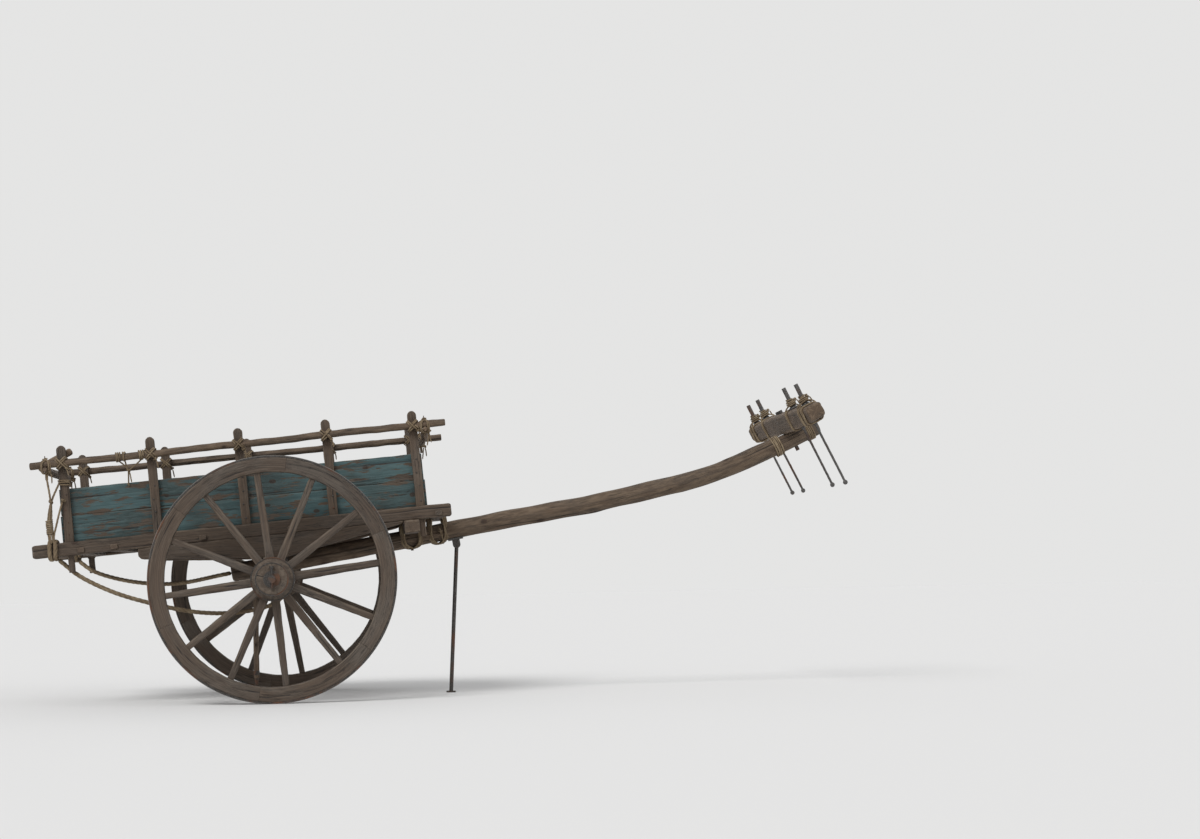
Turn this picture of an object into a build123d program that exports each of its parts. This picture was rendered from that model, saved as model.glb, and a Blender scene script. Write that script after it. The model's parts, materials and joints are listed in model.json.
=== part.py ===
from build123d import *
from math import cos, pi, radians, sin, sqrt, tan
import os

# A two-wheeled bullock cart: pole and yoke in front, a staked box on two side beams, spoked wheels.
# Lengths are in millimetres and angles in degrees. +X is forward, +Y is the cart's left, +Z is up.
# Everything is laid out from the ground under the middle of the axle line, then moved along X once.
# Heights named OVER or UNDER are from the axle line.

FIT = 0.3                 # gap between two pieces that seat on each other along a curved face
RUN_GAP = 1.5             # gap beside a turning hub

# Wheels
WHEEL_R = 595
TRACK = 1400              # between the middles of the two rims
TYRE_T = 10
TYRE_W = 50
TYRE_EDGE = 2
FELLOE_D = 70             # radial depth of the wooden rim
FELLOE_W = 56
FELLOE_COUNT = 6
FELLOE_GAP = 2
FELLOE_EDGE = 6
SPOKES = 12
SPOKE_PHASE = 8           # first spoke, above the horizontal in front of the axle
SPOKE_SET = {"left": {8: 2, 9: 3}, "right": {8: -1.5, 9: -1.5}}    # spokes set by hand off their even place
SPOKE_ROOT = (40, 46)     # size round the wheel, size along the axle
SPOKE_TIP = (30, 36)
SPOKE_EDGE = 8
SPOKE_ROOT_TENON = (26, 30, 26)    # round the wheel, along the axle, depth in the hub
SPOKE_TANG_R = 11
SPOKE_TANG_L = 46
HUB_SEAT_R = 106          # barrel of the hub where the spokes enter
HUB_SEAT_W = 74
HUB_STEP = 6              # the outer bands' seats are this much under the barrel
HUB_END_R = 74
HUB_NECK_R = 78           # neck beside the end bands
HUB_IN = 128              # hub length from the rim's middle towards the cart
HUB_OUT = 148             # and away from it
BAND_W = 22
BAND_T = 5
BOX_WALL = 9              # iron lining of the hub's bore
JOURNAL_R = 19
JOURNAL_PLAY = 0.6

# Axle
AXLE_SQUARE = 42
AXLE_BED_W = 106
AXLE_BED_UNDER = 15
AXLE_BED_H = 122
WASHER_T = 5
WASHER_R = 40
AXLE_TIP = 30             # journal left outside the last washer
LINCHPIN_R = 6
LINCHPIN_ENDS = (44, 52)  # under and over the axle line
LINCHPIN_HEAD = (11, 10)  # radius, height
CLIP_W = 32
CLIP_T = 6
CLIP_Y = (140, 430)

# Bed of the cart
BED_OVER = 220            # underside of the side beams, where they pass the axle line
BED_PITCH = 5             # nose up
BEAM_H = 64
BEAM_W = 76
BEAM_Y = 430              # side beams and stakes, from the cart's middle
BEAM_REAR = -1168
BEAM_FRONT = 875
BEAM_END_R = 14
PLANKS = 7
PLANK_T = 22
PLANK_GAP = 3
FLOOR_REAR = -1036
FLOOR_FRONT = 840
BEARER_W = 58
BEARER_IN = 54            # first bearer ahead of the first stake
BEARER_OUT = 84           # last bearer ahead of the last stake
BEARER_TENON = (34, 24)   # along the bed, height
BEARER_TENON_OUT = 10

# Stakes, boards and rails
STAKES = 5
STAKE_FIRST = -989
STAKE_PITCH = 429
STAKE_W = 44
STAKE_T = 30
STAKE_TOP = 539           # above the underside of the beam
TAIL_W = 30
TAIL_T = 26
TAIL_L = 84               # the first and last stake reach this far under the beam
BOARD_T = 22
BOARD_ROWS = ((0, 128), (131, 262))    # bottom, top above the beam
BOARD_OVER = 34           # boards run past the end stakes by this much
RAIL_R = 17.5
RAIL_W = 459              # middle of the rail above the underside of the beam
RAIL_REAR = -1142
RAIL_FRONT = 888
ROUND_END_CUT = 4         # chamfer at the ends of the rails and bars
CROSS_R = 20              # bars lashed under the rails at both ends
CROSS_OVER = 46
CROSS_REAR = -1066
CROSS_FRONT = 785
PEG_R = 7
PEG_POINT = 26
PEG_TIP_R = 2
PEG_UNDER = 16
LEVER_R = 18
LEVER_BACK = 48           # lengths behind and ahead of the bar that it lies on
LEVER_AHEAD = 108
LEVER_SLOPE = 28

# Sills under the side beams
SILL_W = 70
SILL_REAR = -660
SILL_FRONT = 630
SILL_REAR_D = 54          # depth at the tips
SILL_FRONT_D = 12
SILL_TIP_R = (25, 8)      # rounding of the rear and the front tip

# Pole
POLE_R = 46
POLE_OVER = 77            # its axis, where it passes the axle line
POLE_PITCH = 10
POLE_TAIL = 238           # length behind the axle line
POLE_BEND_AT = 1800       # length from the axle line to the start of the bend
POLE_BEND_R = 3410
POLE_BEND = 16
POLE_NOSE = 150
POLE_NOSE_CUT = 10
POLE_CUT = 20             # depth of the flat under the pole, on the notch of the axle bed
POLE_FLAT = 6             # flat on top under the yoke
BEARER_AT = 674           # cross beam that ties the pole to the side beams
BEARER_BEAM_W = 76
BEARER_BEAM_H = 62
BEARER_BEAM_OVER = 30
BOLT_R = 7
BOLT_HEAD = (17, 9)       # radius, height; the same for the nut

# Prop rod under the pole
PROP_AT = 898
PROP_DROP = 30            # hinge axis under the pole
PROP_LEAN = 3             # the foot stands behind the hinge
PROP_R = 10
PROP_EYE_R = 19
PROP_EYE_T = 16
PROP_PIN_R = 6
PROP_PLAY = 0.5
PROP_FOOT = (24, 8)       # radius, height
LUG_T = 6
LUG_GAP = 3
LUG_PLATE = (76, 56, 6)    # length, width, thickness under the pole
LUG_HOLLOW = 5            # the plate reaches this far up both sides of the pole's underside

# Hill stick behind the axle bed
STICK_Y = -225
STICK_BACK = 50           # hinge axis behind the bed
STICK_OVER = 37
STICK_R = 14
STICK_L = 560
STICK_PIN_R = 5
STICK_SHOE = 60
STICK_TIP_R = 5
STICK_EYE_R = 16
STICK_PLATE_H = 60

# Yoke
YOKE_L = 1700
YOKE_H = 104
YOKE_W = 82
YOKE_END_H = 74
YOKE_EDGE = 10
YOKE_LIFT = 1             # over the flat of the pole
NECK_Y = 550
NECK_HALF = 157           # yoke pins stand this far each side of a neck's middle
NECK_DIP = 22
PIN_R = 11
PIN_ROD_R = 6
PIN_TOP = 118
PIN_COLLAR = (20, 14)
PIN_BELOW = 330
PIN_KNOB_R = 12
KING_R = 10
KING_PLAY = 1             # round the pin in the turning yoke
KING_HEAD = (19, 14)
KING_OUT = 22

# Rope turns round the rear ends of the side beams
TIE_AT = -1066
TIE_W = 44
TIE_EDGE = 10

# Ropes that hang under the bed, from the turns, as points of their middle line, hand laid.
# The first two points and the last two come from what the rope leaves and meets.
ROPE_R = 11
ROPE_EXIT = 40            # length of the first run, past the turns
ROPE_SLANT = 45           # of that run, down from the bed
ROPE_Y = 403
ROPE_BED_END = (38, -96)  # forward, left: where the right rope meets the underside of the axle bed
ROPE_BED_RUN = 48
ROPE_POLE_RUN = 70        # last run of the left rope, along the pole into its tail
# forward, left, over the axle line
ROPE_RIGHT = ((-958, -403, 38), (-868, -397, -13), (-750, -369, -66), (-590, -322, -114),
              (-436, -268, -152), (-296, -210, -167), (-166, -156, -162), (-52, -118, -140),
              (13, -101, -106))
ROPE_LEFT = ((-972, 403, 58), (-900, 393, 31), (-800, 358, 6), (-690, 303, -10),
             (-584, 238, -16), (-482, 166, -10), (-384, 66, 7))

# Frames
BED = Location((0, 0, WHEEL_R + BED_OVER), (0, -BED_PITCH, 0))
POLE = Location((0, 0, WHEEL_R + POLE_OVER), (0, -POLE_PITCH, 0))
SIDES = (("left", 1), ("right", -1))
parts = {}


def block(x0, x1, y0, y1, z0, z1):
    middle = Pos((x0 + x1) / 2, (y0 + y1) / 2, (z0 + z1) / 2)
    return middle * Box(x1 - x0, y1 - y0, z1 - z0)


def rod_x(x0, x1, radius):
    return Pos((x0 + x1) / 2, 0, 0) * Cylinder(radius, x1 - x0, rotation=(0, 90, 0))


def rod_y(y0, y1, radius):
    return Pos(0, (y0 + y1) / 2, 0) * Cylinder(radius, y1 - y0, rotation=(90, 0, 0))


def rod_z(z0, z1, radius):
    return Pos(0, 0, (z0 + z1) / 2) * Cylinder(radius, z1 - z0)


def turned(points):
    # A closed outline of (radius, height), turned about the Z axis.
    outline = Polyline(*[(r, 0, z) for r, z in points], close=True)
    return revolve(make_face(outline), Axis.Z)


# Wheel, with its axle along Z and the cart's outside up

RIM_IN = WHEEL_R - TYRE_T - FELLOE_D
BOX_BORE_R = JOURNAL_R + JOURNAL_PLAY
BOX_R = BOX_BORE_R + BOX_WALL


def spoke():
    root = Plane((HUB_SEAT_R + FIT, 0, 0), x_dir=(0, 1, 0), z_dir=(1, 0, 0))
    tip = Plane((RIM_IN - FIT, 0, 0), x_dir=(0, 1, 0), z_dir=(1, 0, 0))
    ends = [root * RectangleRounded(*SPOKE_ROOT, SPOKE_EDGE), tip * RectangleRounded(*SPOKE_TIP, SPOKE_EDGE)]
    body = loft(ends)
    width, height, depth = SPOKE_ROOT_TENON
    tenon = block(HUB_SEAT_R - depth, HUB_SEAT_R + FIT, -width / 2, width / 2, -height / 2, height / 2)
    tang = rod_x(RIM_IN - FIT, RIM_IN + SPOKE_TANG_L, SPOKE_TANG_R)
    return body + tenon + tang


def hub_bands():
    # Rings shrunk on beside the spokes and at both ends: height of the middle, inner radius.
    seat = HUB_SEAT_W / 2 + BAND_W / 2
    shoulder = HUB_SEAT_R - HUB_STEP
    rows = ((seat, shoulder), (-seat, shoulder),
            (HUB_OUT - BAND_W / 2, HUB_END_R), (-HUB_IN + BAND_W / 2, HUB_END_R))
    return [Pos(0, 0, z) * (Cylinder(r + BAND_T, BAND_W) - Cylinder(r, BAND_W)) for z, r in rows]


def hub(angles):
    seat, shoulder = HUB_SEAT_W / 2, HUB_SEAT_R - HUB_STEP
    under, slope_w = shoulder - 2 * BAND_T, 2 * BAND_T
    out, inn = HUB_OUT - BAND_W, -HUB_IN + BAND_W
    shape = turned((
        (BOX_R, -HUB_IN), (HUB_END_R, -HUB_IN), (HUB_END_R, inn), (HUB_NECK_R, inn),
        (under, -seat - BAND_W - slope_w), (shoulder, -seat - BAND_W), (shoulder, -seat),
        (HUB_SEAT_R, -seat), (HUB_SEAT_R, seat), (shoulder, seat), (shoulder, seat + BAND_W),
        (under, seat + BAND_W + slope_w), (HUB_NECK_R, out), (HUB_END_R, out),
        (HUB_END_R, HUB_OUT), (BOX_R, HUB_OUT)))
    width, height, depth = SPOKE_ROOT_TENON
    mortise = block(HUB_SEAT_R - depth, HUB_SEAT_R + depth, -width / 2, width / 2, -height / 2, height / 2)
    for angle in angles:
        shape -= Rot(0, 0, angle) * mortise
    return shape


def felloes(side, angles):
    # The joints stand midway between two spokes' even places.
    ring = Cylinder(WHEEL_R - TYRE_T, FELLOE_W) - Cylinder(RIM_IN, FELLOE_W)
    ring = chamfer(ring.edges().filter_by(GeomType.CIRCLE).group_by(SortBy.RADIUS)[0], FELLOE_EDGE)
    hole = rod_x(RIM_IN - SPOKE_TANG_R, RIM_IN + SPOKE_TANG_L, SPOKE_TANG_R)
    for angle in angles:
        ring -= Rot(0, 0, angle) * hole
    cut = block(0, WHEEL_R, -FELLOE_GAP / 2, FELLOE_GAP / 2, -FELLOE_W, FELLOE_W)
    for i in range(FELLOE_COUNT):
        joint = SPOKE_PHASE + 180 / SPOKES + 360 * i / FELLOE_COUNT
        ring -= Rot(0, 0, -side * joint) * cut
    return ring.solids()


def tyre():
    ring = Cylinder(WHEEL_R, TYRE_W) - Cylinder(WHEEL_R - TYRE_T, TYRE_W)
    return chamfer(ring.edges().filter_by(GeomType.CIRCLE).group_by(SortBy.RADIUS)[-1], TYRE_EDGE)


def hub_box():
    return Pos(0, 0, (HUB_OUT - HUB_IN) / 2) * (
        Cylinder(BOX_R, HUB_OUT + HUB_IN) - Cylinder(BOX_BORE_R, HUB_OUT + HUB_IN))


for name, side in SIDES:
    # The wheel's own Z turns to the cart's outside, and its own X stays forward.
    place = Location((0, side * TRACK / 2, WHEEL_R), (-90 * side, 0, 0))
    steps = [SPOKE_PHASE + 360 * i / SPOKES + SPOKE_SET[name].get(i, 0) for i in range(SPOKES)]
    angles = [-side * step for step in steps]
    parts[f"hub_{name}"] = [place * hub(angles)]
    parts[f"hub_bands_{name}"] = [place * band for band in hub_bands()]
    parts[f"hub_box_{name}"] = [place * hub_box()]
    parts[f"spokes_{name}"] = [place * Rot(0, 0, angle) * spoke() for angle in angles]
    parts[f"felloes_{name}"] = [place * piece for piece in felloes(side, angles)]
    parts[f"tyre_{name}"] = [place * tyre()]

# Axle: a square iron bar let into a wooden bed, with a journal, washers and a linchpin at each end

hub_inner = TRACK / 2 - HUB_IN
hub_outer = TRACK / 2 + HUB_OUT
bed_end = hub_inner - RUN_GAP - WASHER_T
square_end = bed_end
tip_end = hub_outer + RUN_GAP + WASHER_T + AXLE_TIP
pin_y = hub_outer + RUN_GAP + WASHER_T + LINCHPIN_R + FIT

bar = Pos(0, 0, WHEEL_R) * Box(AXLE_SQUARE, 2 * square_end, AXLE_SQUARE)
journal = Pos(0, 0, WHEEL_R) * rod_y(-tip_end, tip_end, JOURNAL_R)
shaft = bar + journal
for name, side in SIDES:
    shaft -= Pos(0, side * pin_y, WHEEL_R) * rod_z(-JOURNAL_R, JOURNAL_R, LINCHPIN_R)
parts["axle_shaft"] = [shaft]

bed_low = WHEEL_R - AXLE_BED_UNDER
bed_top = bed_low + AXLE_BED_H
bar_top = WHEEL_R + AXLE_SQUARE / 2
pole_seat = WHEEL_R + POLE_OVER - POLE_R + POLE_CUT
bed_bar = block(-AXLE_BED_W / 2, AXLE_BED_W / 2, -bed_end, bed_end, bed_low, bed_top)
bed_bar -= block(-AXLE_SQUARE / 2, AXLE_SQUARE / 2, -bed_end, bed_end, bed_low, bar_top)
bed_bar -= block(-AXLE_BED_W, AXLE_BED_W, -POLE_R - FIT, POLE_R + FIT, pole_seat, bed_top)
parts["axle_bed"] = [bed_bar]

washer = rod_y(-WASHER_T / 2, WASHER_T / 2, WASHER_R) - rod_y(-WASHER_T, WASHER_T, JOURNAL_R + FIT)
washer_places = (bed_end + WASHER_T / 2, hub_outer + RUN_GAP + WASHER_T / 2)
parts["axle_washers"] = [Pos(0, side * y, WHEEL_R) * washer for name, side in SIDES for y in washer_places]

pin_under, pin_over = LINCHPIN_ENDS
head_r, head_h = LINCHPIN_HEAD
linchpin = rod_z(-pin_under, pin_over, LINCHPIN_R) + rod_z(pin_over, pin_over + head_h, head_r)
parts["linchpins"] = [Pos(0, side * pin_y, WHEEL_R) * linchpin for name, side in SIDES]

clip_low = min(bed_low, WHEEL_R - AXLE_SQUARE / 2)
clip_half = AXLE_BED_W / 2
clip = block(-clip_half - CLIP_T, clip_half + CLIP_T, -CLIP_W / 2, CLIP_W / 2, clip_low - CLIP_T, bed_top)
clip -= block(-clip_half, clip_half, -CLIP_W / 2, CLIP_W / 2, clip_low, bed_top)
clip_places = [side * y for name, side in SIDES for y in CLIP_Y]
parts["axle_clips"] = [Pos(0, y, 0) * clip for y in clip_places]

# Side beams with their stake and bearer mortises

beam_in = BEAM_Y - BEAM_W / 2
beam_out = BEAM_Y + BEAM_W / 2
stake_us = [STAKE_FIRST + STAKE_PITCH * i for i in range(STAKES)]
bearer_us = [stake_us[0] + BEARER_IN, stake_us[-1] + BEARER_OUT]
bearer_us += [u + STAKE_PITCH / 2 for u in stake_us[:-1]]
bearer_top = BEAM_H - PLANK_T
tenon_mid = bearer_top / 2


def bearer_tenons(u):
    length, height = BEARER_TENON
    reach = beam_out + BEARER_TENON_OUT
    low = tenon_mid - height / 2
    return block(u - length / 2, u + length / 2, -reach, reach, low, low + height)


stake_hole = Pos(0, BEAM_Y, BEAM_H / 2) * Box(STAKE_W, STAKE_T, BEAM_H)
for name, side in SIDES:
    beam = block(BEAM_REAR, BEAM_FRONT, beam_in, beam_out, 0, BEAM_H)
    ends = beam.edges().filter_by(Axis.Y).group_by(Axis.X)
    beam = fillet(ends[0] + ends[-1], BEAM_END_R)
    for u in stake_us:
        beam -= Pos(u, 0, 0) * stake_hole
    for u in bearer_us:
        beam -= bearer_tenons(u)
    if side < 0:
        beam = mirror(beam, Plane.XZ)
    parts[f"side_beam_{name}"] = [BED * beam]

parts["cross_bearers"] = [
    BED * (block(u - BEARER_W / 2, u + BEARER_W / 2, -beam_in, beam_in, 0, bearer_top) + bearer_tenons(u))
    for u in bearer_us]

plank_w = (2 * beam_in - PLANK_GAP * (PLANKS - 1)) / PLANKS
parts["floor_planks"] = [
    BED * block(FLOOR_REAR, FLOOR_FRONT, y, y + plank_w, bearer_top, BEAM_H)
    for y in [-beam_in + i * (plank_w + PLANK_GAP) for i in range(PLANKS)]]

# Stakes with round heads; the end ones have a tail under the beam

for name, side in SIDES:
    stakes = []
    for i, u in enumerate(stake_us):
        head = STAKE_TOP - STAKE_W / 2
        stake = block(-STAKE_W / 2, STAKE_W / 2, -STAKE_T / 2, STAKE_T / 2, 0, head)
        stake += Pos(0, 0, head) * Cylinder(STAKE_W / 2, STAKE_T, rotation=(90, 0, 0))
        if i in (0, STAKES - 1):
            stake += block(-TAIL_W / 2, TAIL_W / 2, -TAIL_T / 2, TAIL_T / 2, -TAIL_L, 0)
        stakes.append(BED * Pos(u, side * BEAM_Y, 0) * stake)
    parts[f"stakes_{name}"] = stakes

board_out = BEAM_Y - STAKE_T / 2
board_rear = stake_us[0] - BOARD_OVER
board_front = stake_us[-1] + BOARD_OVER
for name, side in SIDES:
    near, far = sorted((side * board_out, side * (board_out - BOARD_T)))
    parts[f"side_boards_{name}"] = [
        BED * block(board_rear, board_front, near, far, BEAM_H + low, BEAM_H + high)
        for low, high in BOARD_ROWS]

# Rails outside the stakes, the bars under their ends and the pegs through both

rail_y = BEAM_Y + STAKE_T / 2 + FIT + RAIL_R
cross_w = RAIL_W - RAIL_R - FIT - CROSS_R
peg_low = cross_w - CROSS_R - PEG_UNDER
cross_us = (CROSS_REAR, CROSS_FRONT)
peg_shaft = rod_z(peg_low, RAIL_W + RAIL_R, PEG_R)
peg = peg_shaft + Pos(0, 0, RAIL_W + RAIL_R + PEG_POINT / 2) * Cone(PEG_R, PEG_TIP_R, PEG_POINT)

for name, side in SIDES:
    rail = Pos(0, side * rail_y, RAIL_W) * rod_x(RAIL_REAR, RAIL_FRONT, RAIL_R)
    rail = chamfer(rail.edges().filter_by(GeomType.CIRCLE), ROUND_END_CUT)
    for u in cross_us:
        rail -= Pos(u, side * rail_y, 0) * peg_shaft
    parts[f"rail_{name}"] = [BED * rail]

cross_bars = []
for u in cross_us:
    bar = Pos(u, 0, cross_w) * rod_y(-rail_y - CROSS_OVER, rail_y + CROSS_OVER, CROSS_R)
    bar = chamfer(bar.edges().filter_by(GeomType.CIRCLE), ROUND_END_CUT)
    for name, side in SIDES:
        bar -= Pos(u, side * rail_y, 0) * peg_shaft
    cross_bars.append(BED * bar)
parts["cross_bars"] = cross_bars
parts["rail_pegs"] = [BED * Pos(u, side * rail_y, 0) * peg for u in cross_us for name, side in SIDES]

# Lever that lies on the rear bar and leans on the inner face of the first right stake

lever_y = -(BEAM_Y - STAKE_T / 2 - FIT - LEVER_R)
lever_rise = (CROSS_R + LEVER_R + FIT) / cos(radians(LEVER_SLOPE))
lever = rod_x(-LEVER_BACK, LEVER_AHEAD, LEVER_R) + Pos(LEVER_AHEAD, 0, 0) * Sphere(LEVER_R)
lever_place = BED * Pos(CROSS_REAR, lever_y, cross_w + lever_rise) * Rot(0, -LEVER_SLOPE, 0)
parts["rope_lever"] = [lever_place * lever]

# Sills between the side beams and the axle bed: level underside behind the axle, rising in front


def bed_under(x):
    return WHEEL_R + BED_OVER + x * tan(radians(BED_PITCH))


for name, side in SIDES:
    outline = Polyline(
        (SILL_REAR, 0, bed_under(SILL_REAR) - SILL_REAR_D), (-AXLE_BED_W / 2, 0, bed_top),
        (AXLE_BED_W / 2, 0, bed_top), (SILL_FRONT, 0, bed_under(SILL_FRONT) - SILL_FRONT_D),
        (SILL_FRONT, 0, bed_under(SILL_FRONT)), (SILL_REAR, 0, bed_under(SILL_REAR)), close=True)
    sill = extrude(make_face(outline), SILL_W / 2, dir=(0, 1, 0), both=True)
    for end, tip_r in zip((0, -1), SILL_TIP_R):
        low_tip = sill.edges().filter_by(Axis.Y).group_by(Axis.X)[end].sort_by(Axis.Z)[0]
        sill = fillet(low_tip, tip_r)
    parts[f"sill_{name}"] = [Pos(0, side * BEAM_Y, 0) * sill]

# Pole: a straight log over the axle bed that bends up to the yoke

bend_end = POLE_BEND_R * sin(radians(POLE_BEND))
bend_rise = POLE_BEND_R * (1 - cos(radians(POLE_BEND)))
straight = rod_x(-POLE_TAIL, POLE_BEND_AT, POLE_R)
section = Plane((POLE_BEND_AT, 0, 0), x_dir=(0, 1, 0), z_dir=(1, 0, 0)) * Circle(POLE_R)
bend_axis = Axis((POLE_BEND_AT, 0, POLE_BEND_R), (0, -1, 0))
bend = revolve(section, bend_axis, POLE_BEND)
YOKE = POLE * Location((POLE_BEND_AT + bend_end, 0, bend_rise), (0, -POLE_BEND, 0))
nose = YOKE * rod_x(0, POLE_NOSE, POLE_R)
nose = chamfer(nose.edges().filter_by(GeomType.CIRCLE).sort_by(Axis.X)[-1], POLE_NOSE_CUT)
pole = POLE * (straight + bend) + nose
notch_half = AXLE_BED_W / 2 + FIT
pole -= block(-notch_half, notch_half, -POLE_R, POLE_R, pole_seat - 2 * POLE_R, pole_seat)

yoke_flat = POLE_R - POLE_FLAT
pole -= YOKE * block(-YOKE_W, YOKE_W, -POLE_R, POLE_R, yoke_flat, 2 * POLE_R)
king_low = -POLE_R - KING_OUT
pole -= YOKE * rod_z(king_low, POLE_R, KING_R + FIT)

# Cross beam under the side beams, notched over the pole and bolted to it

beam_under_pole = BED * Pos(BEARER_AT, 0, 0) * block(
    -BEARER_BEAM_W / 2, BEARER_BEAM_W / 2, -beam_out - BEARER_BEAM_OVER, beam_out + BEARER_BEAM_OVER,
    -BEARER_BEAM_H, 0)
beam_under_pole -= POLE * rod_x(0, POLE_BEND_AT, POLE_R + FIT)
bolt_frame = BED * Pos(BEARER_AT, 0, 0)
bolt_r, bolt_h = BOLT_HEAD
lean = radians(POLE_PITCH - BED_PITCH)
axes_apart = BED_OVER - POLE_OVER
axis_low = axes_apart * cos(radians(BED_PITCH))
axis_low -= (BEARER_AT + axes_apart * sin(radians(BED_PITCH))) * tan(lean)
nut_z = -axis_low - POLE_R / cos(lean) - bolt_r * tan(lean) - FIT
bolt = rod_z(nut_z - bolt_h - BOLT_R, 0, BOLT_R)
beam_under_pole -= bolt_frame * (bolt + rod_z(-bolt_h, 0, bolt_r))
pole -= bolt_frame * bolt
bolt += rod_z(-bolt_h, 0, bolt_r) + rod_z(nut_z - bolt_h, nut_z, bolt_r)
parts["pole_bolt"] = [bolt_frame * bolt]
parts["pole_bearer"] = [beam_under_pole]

# Prop: lugs and pin under the pole, and an iron rod that swings back under it

prop_x = PROP_AT / cos(radians(POLE_PITCH))
prop_hinge = POLE * Pos(prop_x, 0, -POLE_R - PROP_DROP)
hinge_at = prop_hinge.position
lug_y = PROP_EYE_T / 2 + LUG_GAP
plate_l, plate_w, plate_t = LUG_PLATE
plate_top = PROP_DROP + LUG_HOLLOW
plate_low = PROP_DROP - plate_t
lugs = block(-plate_l / 2, plate_l / 2, -plate_w / 2, plate_w / 2, plate_low, plate_top)
for name, side in SIDES:
    near, far = sorted((side * lug_y, side * (lug_y + LUG_T)))
    lugs += block(-PROP_EYE_R, PROP_EYE_R, near, far, 0, plate_low) + rod_y(near, far, PROP_EYE_R)
lugs -= Pos(0, 0, PROP_DROP + POLE_R) * rod_x(-plate_l, plate_l, POLE_R + FIT)
pin_len = lug_y + 2 * LUG_T
lugs += rod_y(-pin_len, pin_len, PROP_PIN_R)
parts["prop_lugs"] = [prop_hinge * lugs]

prop_len = hinge_at.Z / cos(radians(PROP_LEAN))
foot_r, foot_h = PROP_FOOT
prop = rod_z(-prop_len, -PROP_EYE_R / 2, PROP_R) + rod_y(-PROP_EYE_T / 2, PROP_EYE_T / 2, PROP_EYE_R)
prop -= rod_y(-PROP_EYE_T, PROP_EYE_T, PROP_PIN_R + PROP_PLAY)
prop = Location(hinge_at, (0, PROP_LEAN, 0)) * prop
foot_x = hinge_at.X - hinge_at.Z * tan(radians(PROP_LEAN))
prop -= block(foot_x - foot_r, foot_x + foot_r, -foot_r, foot_r, -foot_r, 0)
prop += Pos(foot_x, 0, 0) * rod_z(0, foot_h, foot_r)
parts["prop_rod"] = [prop]

# Hill stick: hangs behind the axle bed and trails on a slope

stick_hinge = (-AXLE_BED_W / 2 - STICK_BACK, STICK_Y, WHEEL_R + STICK_OVER)
stick_lug_y = STICK_R + LUG_GAP
bracket_y = stick_lug_y + LUG_T
bracket = block(STICK_BACK - LUG_T, STICK_BACK, -bracket_y, bracket_y, -STICK_PLATE_H / 2, STICK_PLATE_H / 2)
for name, side in SIDES:
    near, far = sorted((side * stick_lug_y, side * bracket_y))
    ear = block(0, STICK_BACK - LUG_T, near, far, -STICK_EYE_R, STICK_EYE_R)
    bracket += ear + rod_y(near, far, STICK_EYE_R)
bracket += rod_y(-bracket_y - LUG_T, bracket_y + LUG_T, STICK_PIN_R)
parts["stick_lugs"] = [Pos(*stick_hinge) * bracket]

stick = rod_z(-STICK_L + STICK_SHOE, 0, STICK_R) + Sphere(STICK_R)
stick += Pos(0, 0, -STICK_L + STICK_SHOE / 2) * Cone(STICK_TIP_R, STICK_R, STICK_SHOE)
stick -= rod_y(-STICK_R, STICK_R, STICK_PIN_R + PROP_PLAY)
parts["hill_stick"] = [Pos(*stick_hinge) * stick]

# Yoke beam across the pole, with a dip over each neck, its four pins and the king pin

yoke_low = yoke_flat + YOKE_LIFT
yoke_top = yoke_low + YOKE_H
half = YOKE_L / 2
dip_half = NECK_HALF - 2 * PIN_R
end_drop = (YOKE_H - YOKE_END_H) / 2


def neck(side):
    start, middle, end = (side * (NECK_Y + k * dip_half) for k in (1, 0, -1))
    return ThreePointArc((start, 0), (middle, NECK_DIP), (end, 0))


top_arc = ThreePointArc((-half, YOKE_H - end_drop), (0, YOKE_H), (half, YOKE_H - end_drop))
inner, outer = NECK_Y - dip_half, NECK_Y + dip_half
edges = [top_arc, Line((half, YOKE_H - end_drop), (half, end_drop)), Line((half, end_drop), (outer, 0)),
         neck(1), Line((inner, 0), (-inner, 0)), neck(-1), Line((-outer, 0), (-half, end_drop)),
         Line((-half, end_drop), (-half, YOKE_H - end_drop))]
face = Plane((0, 0, yoke_low), x_dir=(0, 1, 0), z_dir=(1, 0, 0)) * make_face(edges)
yoke = extrude(face, YOKE_W / 2, both=True)
yoke = chamfer(yoke.edges().group_by(Axis.X)[0] + yoke.edges().group_by(Axis.X)[-1], YOKE_EDGE)
pin_ys = [side * NECK_Y + k * NECK_HALF for name, side in SIDES for k in (-1, 1)]
for y in pin_ys:
    yoke -= Pos(0, y, 0) * rod_z(yoke_low, yoke_top, PIN_R + FIT)
yoke -= rod_z(yoke_low, yoke_top, KING_R + KING_PLAY)
parts["yoke_beam"] = [YOKE * yoke]


def crown(y):
    # Height of the beam's arched top at a place along it.
    arc_r = (half ** 2 + end_drop ** 2) / (2 * end_drop)
    return yoke_top - (arc_r - sqrt(arc_r ** 2 - y ** 2))


def yoke_pin(y):
    # The collar rests on the inner side, where the beam's top is highest.
    collar_r, collar_h = PIN_COLLAR
    seat = crown(abs(y) - collar_r) + FIT
    step = yoke_low - PIN_R
    pin = rod_z(step, seat + PIN_TOP, PIN_R) + rod_z(seat, seat + collar_h, collar_r)
    pin += rod_z(yoke_low - PIN_BELOW, step, PIN_ROD_R)
    pin += Pos(0, 0, yoke_low - PIN_BELOW) * Sphere(PIN_KNOB_R)
    return Pos(0, y, 0) * pin


parts["yoke_pins"] = [YOKE * yoke_pin(y) for y in pin_ys]

king_head_r, king_head_h = KING_HEAD
king_seat = yoke_top + RUN_GAP
king = rod_z(king_low, king_seat, KING_R) + rod_z(king_seat, king_seat + king_head_h, king_head_r)
parts["king_pin"] = [YOKE * king]
parts["pole"] = [pole]

# Rope turns round the beams' rear ends, and the ropes that hang from them

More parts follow.
